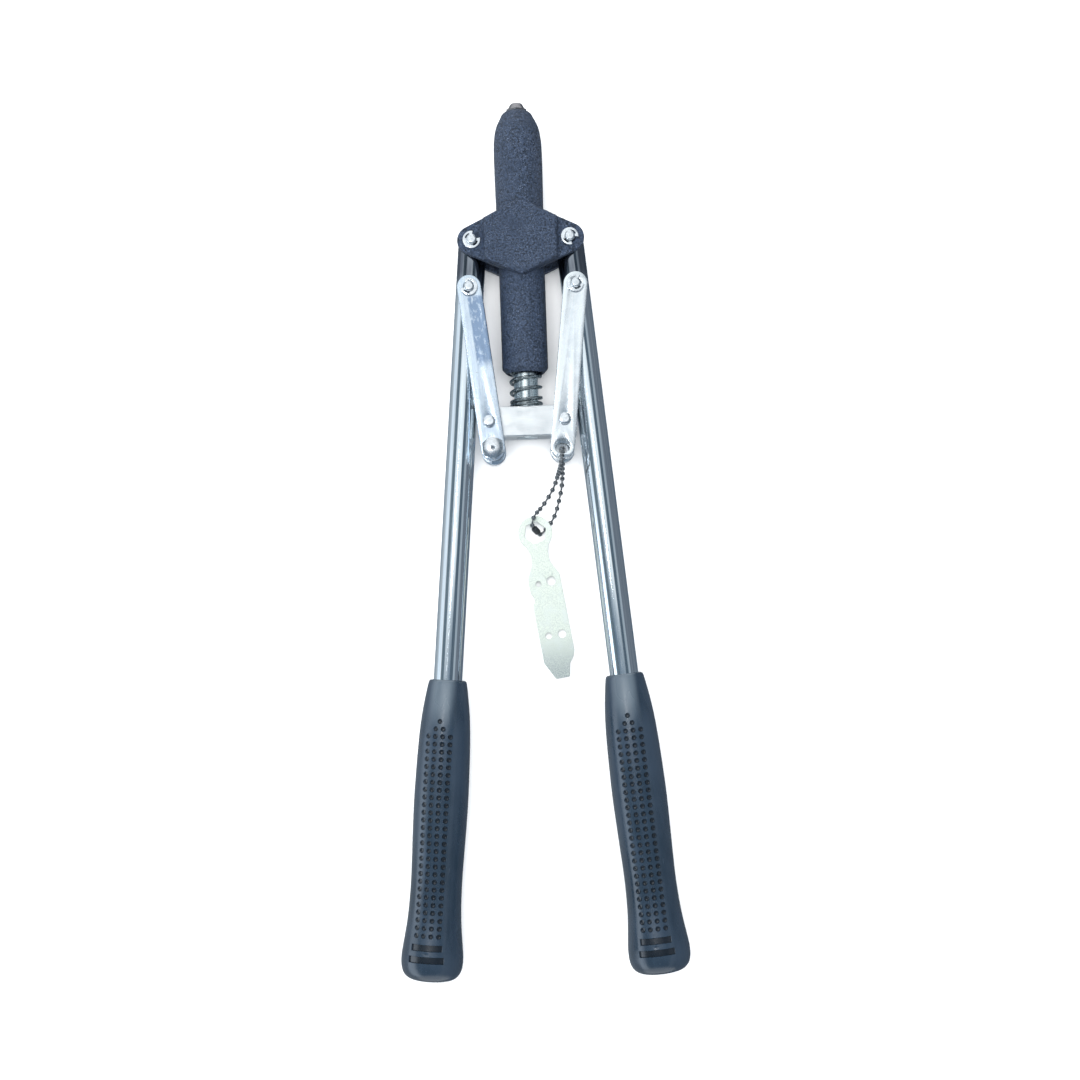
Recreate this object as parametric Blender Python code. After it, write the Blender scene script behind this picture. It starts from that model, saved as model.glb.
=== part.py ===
"""Long-arm hand riveter, lying flat with its handles closed.

Metres, +Z up, +Y towards the nose, +X to the right of someone who looks down on the tool.
Each moving group hangs from an empty that stands on its joint's axis.
"""
import math

import bmesh
import bpy
from mathutils import Matrix, Vector

MM = 0.001
GAP = 0.3 * MM                       # running gap between touching pieces

# ---- overall layout -------------------------------------------------------------------------
EAR_Y = 144.74 * MM                  # line of the two ear pins
MID_Z = 15.0 * MM                    # mid-plane of the tool above the surface it lies on
EAR_X = 24.3 * MM                    # ear pin from the centre line
ARM_REST_DEG = 5.0                   # each arm leans outwards by this much when closed
LINK_PIN_S = 23.3 * MM               # ear pin to link pin, along the arm
LINK_LENGTH = 67.7 * MM              # link pin to crossbar pin
CROSSBAR_PIN_X = 18.6 * MM
ARM_SWING_DEG = 50.0

# ---- head and nose --------------------------------------------------------------------------
PLATE_INNER = 7.3 * MM               # half the slot that the arms swing in
PLATE_OUTER = 11.5 * MM
BOSS_OUTER = MID_Z
EAR_RADIUS = 7.2 * MM
BARREL_RADIUS = 11.4 * MM
BARREL_END = -66.2 * MM
COLLAR_RADIUS = 11.85 * MM
COLLAR_FRONT = 19.9 * MM
NECK_RADIUS = 10.0 * MM
NECK_FRONT = 30.0 * MM
CASE_BORE_RADIUS = 8.7 * MM
CASE_BORE_END = -10.0 * MM
GUIDE_BORE_RADIUS = 6.3 * MM
SPRING_BORE_RADIUS = 8.6 * MM
SPRING_BORE_END = -48.4 * MM
SLEEVE_FRONT = 67.0 * MM
SLEEVE_INNER_FRONT = 57.4 * MM
NOSE_TIP = 71.5 * MM
NOSEPIECE_FLATS = 10.0 * MM
SHANK_RADIUS = 3.4 * MM

# ---- drawbar --------------------------------------------------------------------------------
ROD_RADIUS = 6.0 * MM
ROD_TAIL_RADIUS = 5.0 * MM
ROD_BORE_RADIUS = 2.5 * MM
ROD_FRONT = 10.4 * MM
CROSSBAR_HALF_WIDTH = 24.2 * MM
CROSSBAR_HALF_HEIGHT = 7.5 * MM
CROSSBAR_HALF_DEPTH = 7.0 * MM
CASE_RADIUS = 8.2 * MM
CASE_FRONT = 41.4 * MM
CASE_REAR = 2.4 * MM
CASE_MOUTH_RADIUS = 3.9 * MM
CONE_DEG = 10.6
CONE_REAR = 24.9 * MM
JAW_FRONT = 40.9 * MM
JAW_REAR = 27.9 * MM
JAW_COUNT = 3
PUSHER_FRONT = 27.5 * MM
PUSHER_FLANGE_REAR = 24.0 * MM
PUSHER_REAR = 15.4 * MM

# ---- springs --------------------------------------------------------------------------------
RETURN_SPRING_RADIUS = 7.4 * MM      # to the middle of the wire
RETURN_WIRE_RADIUS = 0.8 * MM
JAW_SPRING_RADIUS = 4.9 * MM
JAW_WIRE_RADIUS = 0.45 * MM

# ---- arms and links -------------------------------------------------------------------------
TUBE_RADIUS = 7.0 * MM
TUBE_BORE_RADIUS = 5.5 * MM
TUBE_END_S = 350.0 * MM
GRIP_START_S = 217.0 * MM            # ear pin to the grip's front edge
PIN_RADIUS = 2.5 * MM
PIN_HOLE_RADIUS = 2.8 * MM
GROOVE_RADIUS = 1.9 * MM
CLIP_RADIUS = 4.35 * MM
CLIP_THICKNESS = 0.8 * MM
LINK_INNER = 7.3 * MM
LINK_OUTER = 10.3 * MM
LINK_HALF_WIDTH = 6.0 * MM
STORE_OFFSET = 13.5 * MM             # crossbar pin to the hole that stores a nosepiece
STORE_HOLE_RADIUS = 3.7 * MM

# ---- spanner and chain ----------------------------------------------------------------------
SPANNER_CENTRE = Vector((2.0 * MM, -144.4 * MM, 3.2 * MM))
SPANNER_THICKNESS = 2.2 * MM
SPANNER_TURN_DEG = 9.0
SPANNER_TILT_DEG = 2.2               # its head rests on the chain, its tip on the surface
SPANNER_HEX_FLATS = 10.0 * MM
CHAIN_DIAMETER = 2.4 * MM
CHAIN_STEP = 2.2 * MM
# The chain's route in millimetres from the ear line: out of the front of the right link's hole,
# over the link's end, along the surface, over the spanner's ring and down into its hexagon ...
STRAND_A = [
    (17.0, -104.2, 25.3), (16.7, -106.9, 26.9), (16.4, -109.8, 26.9), (16.0, -112.3, 24.0),
    (15.6, -113.7, 19.5), (15.0, -114.9, 14.0), (14.4, -116.1, 9.0), (13.7, -117.7, 4.6),
    (12.7, -120.1, 1.9), (11.4, -122.8, 1.25), (9.7, -125.6, 1.25), (7.4, -129.0, 1.3),
    (5.6, -131.4, 2.2), (3.9, -133.5, 4.6), (2.6, -135.2, 7.3), (1.4, -137.3, 8.0),
    (0.8, -139.7, 7.9), (1.0, -141.7, 7.0),
]
# ... and, past the clasp, out under the ring, back along the surface and up behind the link.
STRAND_B = [
    (3.9, -144.6, 2.4), (4.8, -144.7, 1.5), (6.4, -143.6, 1.25), (8.4, -141.4, 1.25),
    (10.6, -138.4, 1.25), (12.3, -135.2, 1.25), (13.6, -131.4, 1.25), (14.7, -127.4, 1.25),
    (15.7, -123.4, 1.3), (16.3, -120.0, 2.2), (16.6, -117.1, 4.9), (16.75, -114.9, 8.6),
    (16.85, -112.5, 13.0), (16.9, -110.1, 17.0), (16.95, -107.3, 20.2), (17.0, -104.6, 22.2),
]

ROUND = 28                           # facets round a large turned piece
SMALL_ROUND = 16                     # facets round a pin


# ---- building blocks ------------------------------------------------------------------------
def clear_scene():
    for item in list(bpy.data.objects):
        bpy.data.objects.remove(item, do_unlink=True)


def make_material(name, colour, metallic, roughness):
    material = bpy.data.materials.new(name)
    material.use_nodes = True
    shader = material.node_tree.nodes["Principled BSDF"]
    shader.inputs["Base Color"].default_value = (*colour, 1.0)
    shader.inputs["Metallic"].default_value = metallic
    shader.inputs["Roughness"].default_value = roughness
    return material


def add_object(name, bm, material, parent=None, location=(0, 0, 0), rotation=(0, 0, 0)):
    mesh = bpy.data.meshes.new(name)
    bmesh.ops.recalc_face_normals(bm, faces=bm.faces[:])
    bm.to_mesh(mesh)
    bm.free()
    mesh.materials.append(material)
    mesh.shade_smooth()
    mesh.set_sharp_from_angle(angle=math.radians(35))
    item = bpy.data.objects.new(name, mesh)
    bpy.context.scene.collection.objects.link(item)
    item.parent = parent
    item.location = location
    item.rotation_euler = rotation
    return item


def add_empty(name, location, turn_deg=0.0, parent=None):
    item = bpy.data.objects.new(name, None)
    bpy.context.scene.collection.objects.link(item)
    item.parent = parent
    item.location = location
    item.rotation_euler = (0, 0, math.radians(turn_deg))
    return item


def hide_guide(item):
    item.hide_render = True
    item.display_type = "WIRE"
    return item


def boolean(item, guide, operation):
    modifier = item.modifiers.new(guide.name, "BOOLEAN")
    modifier.operation = operation
    modifier.solver = "EXACT"
    modifier.object = hide_guide(guide)


def turned(profile, segments=ROUND):
    """A closed body turned about the Y axis from a closed outline of (radius, y) points."""
    bm = bmesh.new()
    rings = []
    for radius, y in profile:
        if radius == 0:
            rings.append([bm.verts.new((0, y, 0))] * segments)
            continue
        ring = []
        for i in range(segments):
            angle = 2 * math.pi * i / segments
            ring.append(bm.verts.new((radius * math.cos(angle), y, radius * math.sin(angle))))
        rings.append(ring)
    for ring, following in zip(rings, rings[1:] + rings[:1]):
        for i in range(segments):
            j = (i + 1) % segments
            corners = [ring[i], ring[j], following[j], following[i]]
            unique = list(dict.fromkeys(corners))
            if len(unique) > 2:
                bm.faces.new(unique)
    return bm


def prism(outline, low, high):
    """A straight body along Z from an outline of (x, y) points."""
    bm = bmesh.new()
    base = [bm.verts.new((x, y, low)) for x, y in outline]
    top = [bm.verts.new((x, y, high)) for x, y in outline]
    bm.faces.new(base[::-1])
    bm.faces.new(top)
    for i in range(len(outline)):
        j = (i + 1) % len(outline)
        bm.faces.new((base[i], base[j], top[j], top[i]))
    return bm


def arc(centre, radius, start_deg, end_deg, count):
    """Points along an arc, both ends included."""
    points = []
    for i in range(count + 1):
        angle = math.radians(start_deg + (end_deg - start_deg) * i / count)
        points.append((centre[0] + radius * math.cos(angle), centre[1] + radius * math.sin(angle)))
    return points


def hexagon(flats, turn_deg=0.0):
    return arc((0, 0), flats / math.sqrt(3), turn_deg, turn_deg + 300, 5)


def round_cutter(name, radius, low, high, parent=None, location=(0, 0, 0), segments=SMALL_ROUND):
    """A cylinder along Z that cuts a hole."""
    circle = arc((0, 0), radius, 0, 360 * (segments - 1) / segments, segments - 1)
    bm = prism(circle, low, high)
    return add_object(name, bm, MATERIALS["steel"], parent, location)


def cut_round(item, name, radius, low, high, location):
    guide = round_cutter(name, radius, low, high, item.parent, location)
    boolean(item, guide, "DIFFERENCE")


def hull_plate(points, low, high, chamfer):
    """A convex plate along Z whose face at high is drawn in by the chamfer."""
    bm = bmesh.new()
    centre = sum((Vector(p) for p in points), Vector((0, 0))) / len(points)
    for x, y in points:
        inward = (centre - Vector((x, y))).normalized() * chamfer
        step = math.copysign(chamfer, high - low)
        bm.verts.new((x, y, low))
        bm.verts.new((x, y, high - step))
        bm.verts.new((x + 0.3 * inward.x, y + 0.3 * inward.y, high - 0.3 * step))
        bm.verts.new((x + inward.x, y + inward.y, high))
    result = bmesh.ops.convex_hull(bm, input=bm.verts[:])
    spare = [v for v in result["geom_interior"] if isinstance(v, bmesh.types.BMVert)]
    bmesh.ops.delete(bm, geom=spare, context="VERTS")
    bmesh.ops.dissolve_limit(bm, angle_limit=math.radians(0.5), verts=bm.verts[:],
                             edges=bm.edges[:])
    return bm


def helix(radius, wire_radius, start_deg, heights, sides=6, steps=12):
    """A wire wound about Y. heights gives (turns, y) points; y rises as the angle falls."""
    bm = bmesh.new()
    rings = []
    total = heights[-1][0]
    count = round(total * steps)
    for i in range(count + 1):
        turns = total * i / count
        for (t0, y0), (t1, y1) in zip(heights, heights[1:]):
            if turns <= t1 + 1e-9:
                y = y0 + (y1 - y0) * (turns - t0) / (t1 - t0)
                break
        angle = math.radians(start_deg) - 2 * math.pi * turns
        out = Vector((math.cos(angle), 0, math.sin(angle)))
        centre = out * radius + Vector((0, y, 0))
        ring = []
        for k in range(sides):
            around = 2 * math.pi * k / sides
            offset = out * math.cos(around) + Vector((0, math.sin(around), 0))
            ring.append(bm.verts.new(centre + offset * wire_radius))
        rings.append(ring)
    for ring, following in zip(rings, rings[1:]):
        for k in range(sides):
            m = (k + 1) % sides
            bm.faces.new((ring[k], ring[m], following[m], following[k]))
    bm.faces.new(rings[0][::-1])
    bm.faces.new(rings[-1])
    return bm


# ---- head -----------------------------------------------------------------------------------
def head_outline():
    boss = [(0, 19.8), (18.5, 10.3), (18.1, -10.0), (0, -18.6), (-18.1, -10.0), (-18.5, 10.3)]
    return [(x * MM, y * MM) for x, y in boss]


def make_head(frame):
    barrel = turned([
        (0, BARREL_END), (BARREL_RADIUS - 2.4 * MM, BARREL_END),
        (BARREL_RADIUS, BARREL_END + 2.6 * MM), (BARREL_RADIUS, 0), (COLLAR_RADIUS, 0),
        (COLLAR_RADIUS, COLLAR_FRONT), (NECK_RADIUS, COLLAR_FRONT), (NECK_RADIUS, NECK_FRONT),
        (0, NECK_FRONT),
    ])
    head = add_object("head_casting", barrel, MATERIALS["dark_coat"], frame)
    boss = head_outline()
    ears = arc((EAR_X, 0), EAR_RADIUS, -90, 90, 14) + arc((-EAR_X, 0), EAR_RADIUS, 90, 270, 14)
    for side, name in ((1, "front"), (-1, "back")):
        plate = hull_plate(boss + ears, side * PLATE_INNER, side * PLATE_OUTER, 0.7 * MM)
        boolean(head, add_object(f"guide_plate_{name}", plate, MATERIALS["dark_coat"], frame),
                "UNION")
        rise = hull_plate(boss, side * (PLATE_OUTER - 1.5 * MM), side * BOSS_OUTER, 1.1 * MM)
        boolean(head, add_object(f"guide_boss_{name}", rise, MATERIALS["dark_coat"], frame),
                "UNION")
    web = prism([(0.75 * x, 0.75 * y) for x, y in boss[::-1]], -8.5 * MM, 8.5 * MM)
    boolean(head, add_object("guide_web", web, MATERIALS["dark_coat"], frame), "UNION")
    past = 2.0 * MM
    bore = turned([
        (0, BARREL_END - past), (SPRING_BORE_RADIUS, BARREL_END - past),
        (SPRING_BORE_RADIUS, SPRING_BORE_END), (GUIDE_BORE_RADIUS, SPRING_BORE_END),
        (GUIDE_BORE_RADIUS, CASE_BORE_END), (CASE_BORE_RADIUS, CASE_BORE_END),
        (CASE_BORE_RADIUS, NECK_FRONT + past), (0, NECK_FRONT + past),
    ])
    boolean(head, add_object("cut_head_bore", bore, MATERIALS["steel"], frame), "DIFFERENCE")
    for side, name in ((-1, "left"), (1, "right")):
        cut_round(head, f"cut_{name}_ear", PIN_HOLE_RADIUS, -20 * MM, 20 * MM,
                  (side * EAR_X, 0, 0))
    return head


def make_sleeve(frame):
    rear = COLLAR_FRONT + GAP
    # radius, and distance behind the sleeve's front face, in millimetres
    outer = [(12.05, 33.0), (12.1, 24.0), (11.95, 16.0), (11.65, 13.0), (11.2, 10.0),
             (10.4, 7.1), (9.45, 5.0), (8.4, 2.9), (7.6, 1.25), (6.2, 0.0)]
    profile = [(COLLAR_RADIUS, rear)] + [(r * MM, SLEEVE_FRONT - d * MM) for r, d in outer]
    thread = SHANK_RADIUS + GAP
    socket = NECK_RADIUS + GAP
    profile += [
        (thread, SLEEVE_FRONT), (thread, SLEEVE_INNER_FRONT),
        (CASE_BORE_RADIUS, SLEEVE_INNER_FRONT), (CASE_BORE_RADIUS, NECK_FRONT + 0.5 * MM),
        (socket, NECK_FRONT + 0.5 * MM), (socket, rear),
    ]
    bm = turned(profile)
    return add_object("nose_sleeve", bm, MATERIALS["dark_coat"], frame)


def make_nosepiece(name, bore_radius, height, flat_height, shank_length, parent, location, rotation):
    """A screw-in nosepiece along Y: a hexagon from y = 0 with a domed front, and its shank."""
    bm = prism(hexagon(NOSEPIECE_FLATS), 0, flat_height)
    bmesh.ops.rotate(bm, verts=bm.verts[:], matrix=Matrix.Rotation(math.radians(-90), 3, "X"))
    piece = add_object(name, bm, MATERIALS["nosepiece"], parent, location, rotation)
    rise = height - flat_height
    core = turned([
        (0, -shank_length), (SHANK_RADIUS - 0.4 * MM, -shank_length),
        (SHANK_RADIUS, 0.6 * MM - shank_length), (SHANK_RADIUS, 0.4 * MM),
        (4.85 * MM, 0.4 * MM), (4.85 * MM, flat_height + 0.05 * rise),
        (4.5 * MM, flat_height + 0.3 * rise), (3.95 * MM, flat_height + 0.62 * rise),
        (3.4 * MM, flat_height + 0.9 * rise), (2.9 * MM, height), (0, height),
    ], SMALL_ROUND)
    place = (parent, location, rotation)
    boolean(piece, add_object(f"guide_{name}", core, MATERIALS["steel"], *place), "UNION")
    bore = turned([(0, -shank_length - MM), (bore_radius, -shank_length - MM),
                   (bore_radius, height + MM), (0, height + MM)], SMALL_ROUND)
    boolean(piece, add_object(f"cut_{name}", bore, MATERIALS["steel"], *place), "DIFFERENCE")
    return piece


# ---- pins and clips -------------------------------------------------------------------------
def make_pin(name, reach, parent, location):
    """A pin along Z with a flat head behind, and a groove for its clip in front."""
    groove_low = reach
    groove_high = groove_low + CLIP_THICKNESS + 2 * GAP
    tip = groove_high + 1.3 * MM
    profile = [
        (0, -reach - GAP - 1.4 * MM), (3.9 * MM, -reach - GAP - 1.4 * MM),
        (4.3 * MM, -reach - GAP - 1.0 * MM), (4.3 * MM, -reach - GAP), (PIN_RADIUS, -reach - GAP),
        (PIN_RADIUS, groove_low), (GROOVE_RADIUS, groove_low), (GROOVE_RADIUS, groove_high),
        (PIN_RADIUS, groove_high), (PIN_RADIUS, tip - 0.5 * MM), (PIN_RADIUS - 0.5 * MM, tip),
        (0, tip),
    ]
    bm = turned(profile, SMALL_ROUND)
    bmesh.ops.rotate(bm, verts=bm.verts[:], matrix=Matrix.Rotation(math.radians(90), 3, "X"))
    return add_object(name, bm, MATERIALS["bright_zinc"], parent, location)


def make_clip(name, reach, opening_deg, parent, location):
    """An E-shaped retaining clip: a ring with an open mouth and two inner notches."""
    inner = GROOVE_RADIUS + GAP
    half_mouth = 34.0
    outline = arc((0, 0), CLIP_RADIUS, half_mouth, 360 - half_mouth, 18)
    outline += arc((0, 0), inner, 360 - half_mouth, 300, 3)
    outline += arc((0, 0), 3.3 * MM, 296, 244, 4)
    outline += arc((0, 0), inner, 240, 120, 8)
    outline += arc((0, 0), 3.3 * MM, 116, 64, 4)
    outline += arc((0, 0), inner, 60, half_mouth, 3)
    low = reach + GAP
    bm = prism(outline, low, low + CLIP_THICKNESS)
    turn = (0, 0, math.radians(opening_deg))
    return add_object(name, bm, MATERIALS["bright_zinc"], parent, location, turn)


def make_rivet_pin(name, parent, location):
    """The peened pin that carries a crossbar end between its two link plates."""
    head_low = LINK_OUTER + GAP
    half = [(PIN_RADIUS, head_low), (2.9 * MM, head_low), (2.9 * MM, head_low + 0.5 * MM),
            (2.3 * MM, head_low + 0.95 * MM), (0, head_low + 1.15 * MM)]
    profile = [(r, -y) for r, y in half[::-1]] + half
    bm = turned(profile, SMALL_ROUND)
    bmesh.ops.rotate(bm, verts=bm.verts[:], matrix=Matrix.Rotation(math.radians(90), 3, "X"))
    return add_object(name, bm, MATERIALS["bright_zinc"], parent, location)


# ---- drawbar --------------------------------------------------------------------------------
def make_crossbar(drawbar, pin_y):
    low = pin_y - CROSSBAR_HALF_HEIGHT
    high = pin_y + CROSSBAR_HALF_HEIGHT
    w = CROSSBAR_HALF_WIDTH
    bm = prism([(-w, low), (w, low), (w, high), (-w, high)], -CROSSBAR_HALF_DEPTH,
               CROSSBAR_HALF_DEPTH)
    crossbar = add_object("crossbar", bm, MATERIALS["zinc"], drawbar)
    bevel = crossbar.modifiers.new("edges", "BEVEL")
    bevel.width = 0.6 * MM
    bevel.segments = 2
    bore_radius = ROD_TAIL_RADIUS + GAP
    bore = turned([(0, low - 2 * MM), (bore_radius, low - 2 * MM), (bore_radius, high + 2 * MM),
                   (0, high + 2 * MM)])
    boolean(crossbar, add_object("cut_crossbar_bore", bore, MATERIALS["steel"], drawbar),
            "DIFFERENCE")
    # The pins run in slots, because the links follow the arms at a constant ratio here.
    slot_radius = PIN_RADIUS + 0.35 * MM
    stray_x, stray_y = pin_stray()
    for side, name in ((-1, "left"), (1, "right")):
        outline = arc((0, -stray_y), slot_radius, 180, 270, 5)
        outline += arc((stray_x, -stray_y), slot_radius, 270, 360, 5)
        outline += arc((stray_x, 0), slot_radius, 0, 90, 5)
        outline += arc((0, 0), slot_radius, 90, 180, 5)
        outline = [(side * x, y) for x, y in outline][::side]
        slot = prism(outline, -12 * MM, 12 * MM)
        boolean(crossbar, add_object(f"cut_{name}_slot", slot, MATERIALS["steel"], drawbar,
                                     (side * CROSSBAR_PIN_X, pin_y, 0)), "DIFFERENCE")
    cut_round(crossbar, "cut_set_screw", 2.5 * MM, -12 * MM, -4.0 * MM, (0, pin_y, 0))
    screw = prism(arc((0, 0), 2.2 * MM, 0, 345, 23), -6.8 * MM, -5.4 * MM)
    add_object("rod_set_screw", screw, MATERIALS["steel"], drawbar, (0, pin_y, 0))
    return crossbar


def make_pull_rod(drawbar, pin_y):
    shoulder = pin_y + CROSSBAR_HALF_HEIGHT + GAP
    tail = pin_y - CROSSBAR_HALF_HEIGHT + 0.7 * MM
    profile = [
        (ROD_BORE_RADIUS, tail), (ROD_TAIL_RADIUS - 0.4 * MM, tail),
        (ROD_TAIL_RADIUS, tail + 0.4 * MM), (ROD_TAIL_RADIUS, shoulder), (ROD_RADIUS, shoulder),
        (ROD_RADIUS, ROD_FRONT - 0.5 * MM), (ROD_RADIUS - 0.5 * MM, ROD_FRONT),
        (ROD_BORE_RADIUS, ROD_FRONT),
    ]
    return add_object("pull_rod", turned(profile), MATERIALS["steel"], drawbar)


def cone_radius(y):
    return CASE_MOUTH_RADIUS + (CASE_FRONT - y) * math.tan(math.radians(CONE_DEG))


def make_jaw_case(drawbar):
    deep = cone_radius(CONE_REAR)
    thread = ROD_RADIUS + GAP
    profile = [
        (thread, CASE_REAR), (CASE_RADIUS, CASE_REAR), (CASE_RADIUS, CASE_FRONT - 1.5 * MM),
        (CASE_RADIUS - 1.0 * MM, CASE_FRONT), (CASE_MOUTH_RADIUS, CASE_FRONT),
        (deep, CONE_REAR), (deep, ROD_FRONT + MM), (thread, ROD_FRONT + MM),
    ]
    case = add_object("jaw_case", turned(profile, SMALL_ROUND), MATERIALS["steel"], drawbar)
    nut_front = CASE_REAR - GAP
    nut = turned([
        (thread, nut_front - 5 * MM), (CASE_RADIUS - 0.4 * MM, nut_front - 5 * MM),
        (CASE_RADIUS, nut_front - 4.6 * MM), (CASE_RADIUS, nut_front), (thread, nut_front),
    ], SMALL_ROUND)
    add_object("jaw_case_locknut", nut, MATERIALS["steel"], drawbar)
    return case


def make_jaw(index, pivot):
    """One jaw: a sector of a cone with flat sides, tapering towards the nose."""
    half_deg = 180 / JAW_COUNT
    bm = bmesh.new()
    rings = []
    for y in (JAW_REAR, JAW_FRONT):
        outer = cone_radius(y) - 0.35 * MM
        inner = 1.3 * MM
        side_gap = math.degrees(math.asin(0.3 * MM / outer))
        inner_gap = math.degrees(math.asin(0.3 * MM / inner))
        outline = arc((0, 0), outer, -half_deg + side_gap, half_deg - side_gap, 10)
        outline += arc((0, 0), inner, half_deg - inner_gap, -half_deg + inner_gap, 4)
        rings.append([bm.verts.new((x, y, z)) for x, z in outline])
    count = len(rings[0])
    for i in range(count):
        j = (i + 1) % count
        bm.faces.new((rings[0][i], rings[0][j], rings[1][j], rings[1][i]))
    bm.faces.new(rings[0][::-1])
    bm.faces.new(rings[1])
    around = Matrix.Rotation(-math.radians(jaw_angle_deg(index)), 3, "Y")
    bmesh.ops.rotate(bm, verts=bm.verts[:], matrix=around)
    return add_object(f"jaw_{index + 1}", bm, MATERIALS["steel"], pivot)


def jaw_angle_deg(index):
    return 90.0 + index * 360 / JAW_COUNT


def make_jaw_pusher(pivot):
    profile = [
        (2.6 * MM, PUSHER_REAR), (3.6 * MM, PUSHER_REAR), (3.6 * MM, PUSHER_FLANGE_REAR),
        (5.6 * MM, PUSHER_FLANGE_REAR), (5.6 * MM, PUSHER_FRONT - MM),
        (4.6 * MM, PUSHER_FRONT), (2.6 * MM, PUSHER_FRONT),
    ]
    return add_object("jaw_pusher", turned(profile, SMALL_ROUND), MATERIALS["steel"], pivot)


def make_return_spring(frame, pin_y):
    low = pin_y + CROSSBAR_HALF_HEIGHT + GAP + RETURN_WIRE_RADIUS
    high = SPRING_BORE_END - GAP - RETURN_WIRE_RADIUS
    end_rise = 2.1 * MM
    heights = [(0, low), (1.2, low + end_rise), (6.4, high - end_rise), (7.6, high)]
    bm = helix(RETURN_SPRING_RADIUS, RETURN_WIRE_RADIUS, 180, heights)
    return add_object("return_spring", bm, MATERIALS["spring"], frame)


def make_jaw_spring(drawbar):
    low = ROD_FRONT + GAP + JAW_WIRE_RADIUS
    high = PUSHER_FLANGE_REAR - GAP - JAW_WIRE_RADIUS
    heights = [(0, low), (1, low + 1.2 * MM), (5, high - 1.2 * MM), (6, high)]
    bm = helix(JAW_SPRING_RADIUS, JAW_WIRE_RADIUS, 0, heights, sides=5, steps=10)
    return add_object("jaw_spring", bm, MATERIALS["spring"], drawbar)


# ---- arms -----------------------------------------------------------------------------------
def make_arm(name, pivot):
    """Tube, plug and grip along local -Y from the ear pin."""
    nose = [(TUBE_RADIUS * math.cos(a), TUBE_RADIUS * math.sin(a)) for a in (0.0, 0.26, 0.52, 0.78)]
    mouth = [(3.6 * MM, 4.2 * MM), (4.7 * MM, 2.6 * MM)]
    profile = [(TUBE_RADIUS, -TUBE_END_S)] + nose + mouth
    profile += [(TUBE_BORE_RADIUS, 0.0), (TUBE_BORE_RADIUS, -TUBE_END_S)]
    tube = add_object(f"{name}_arm_tube", turned(profile), MATERIALS["chrome"], pivot)
    plug_radius = TUBE_BORE_RADIUS - GAP
    plug = add_object(f"{name}_tube_plug", turned([
        (0, -34 * MM), (plug_radius - MM, -34 * MM), (plug_radius, -33 * MM),
        (plug_radius, -0.2 * MM), (3.9 * MM, 2.0 * MM), (0, 2.0 * MM),
    ], SMALL_ROUND), MATERIALS["steel"], pivot)
    for label, place in (("ear", 0.0), ("link", -LINK_PIN_S)):
        for item in (tube, plug):
            cut_round(item, f"cut_{item.name}_{label}", PIN_HOLE_RADIUS, -9 * MM, 9 * MM,
                      (0, place, 0))
    make_grip(name, pivot)
    return tube


def make_grip(name, pivot):
    # radius, and distance from the grip's front edge, in millimetres
    outer = [
        (8.2, 0.0), (9.1, 0.6), (9.7, 3.0), (10.5, 8.0), (11.4, 14.5), (12.1, 21.5),
        (12.6, 30.0), (13.0, 42.0), (13.25, 58.0), (13.05, 72.0), (12.5, 95.0),
        (12.6, 106.0), (13.05, 115.5), (13.7, 122.0), (14.5, 128.5), (15.0, 133.5),
        (14.7, 138.5), (12.9, 142.4), (8.8, 144.6), (0.0, 145.2),
    ]
    profile = [(r * MM, -GRIP_START_S - s * MM) for r, s in outer]
    bore_radius = TUBE_RADIUS + GAP
    bore_end = -TUBE_END_S - 0.8 * MM
    profile += [(0.0, bore_end), (bore_radius, bore_end), (bore_radius, -GRIP_START_S)]
    add_object(f"{name}_grip", turned(profile), MATERIALS["grip"], pivot)


# ---- links ----------------------------------------------------------------------------------
def make_link(side, name, pivot):
    """Two flat plates along local -Y from the link pin, with their pins."""
    far = LINK_LENGTH + STORE_OFFSET
    outline = arc((0, 0), LINK_HALF_WIDTH, 0, 180, 12)
    outline += arc((0, -far), LINK_HALF_WIDTH, 180, 360, 12)
    for label, sign in (("front", 1), ("back", -1)):
        low, high = sorted((sign * LINK_INNER, sign * LINK_OUTER))
        plate = add_object(f"{name}_link_{label}", prism(outline, low, high), MATERIALS["zinc"],
                           pivot)
        bevel = plate.modifiers.new("edges", "BEVEL")
        bevel.width = 0.35 * MM
        bevel.segments = 1
        bevel.limit_method = "ANGLE"
        bevel.angle_limit = math.radians(50)
        stem = f"cut_{name}_{label}"
        cut_round(plate, f"{stem}_link", PIN_HOLE_RADIUS, -20 * MM, 20 * MM, (0, 0, 0))
        cut_round(plate, f"{stem}_bar", PIN_HOLE_RADIUS, -20 * MM, 20 * MM,
                  (0, -LINK_LENGTH, 0))
        cut_round(plate, f"{stem}_store", STORE_HOLE_RADIUS, -20 * MM, 20 * MM, (0, -far, 0))
    make_pin(f"{name}_link_pin", LINK_OUTER, pivot, (0, 0, 0))
    make_clip(f"{name}_link_clip", LINK_OUTER, 90 - side * 60, pivot, (0, 0, 0))
    make_rivet_pin(f"{name}_crossbar_pin", pivot, (0, -LINK_LENGTH, 0))


def make_spare_nosepiece(name, sign, bore_radius, pivot):
    """A nosepiece stored in a link's end hole; sign is 1 on the front plate, -1 on the back."""
    far = LINK_LENGTH + STORE_OFFSET
    location = (0, -far, sign * (LINK_OUTER + GAP))
    rotation = (math.radians(90 * sign), 0, 0)
    make_nosepiece(name, bore_radius, 3.9 * MM, 3.0 * MM, 5.2 * MM, pivot, location, rotation)


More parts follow.
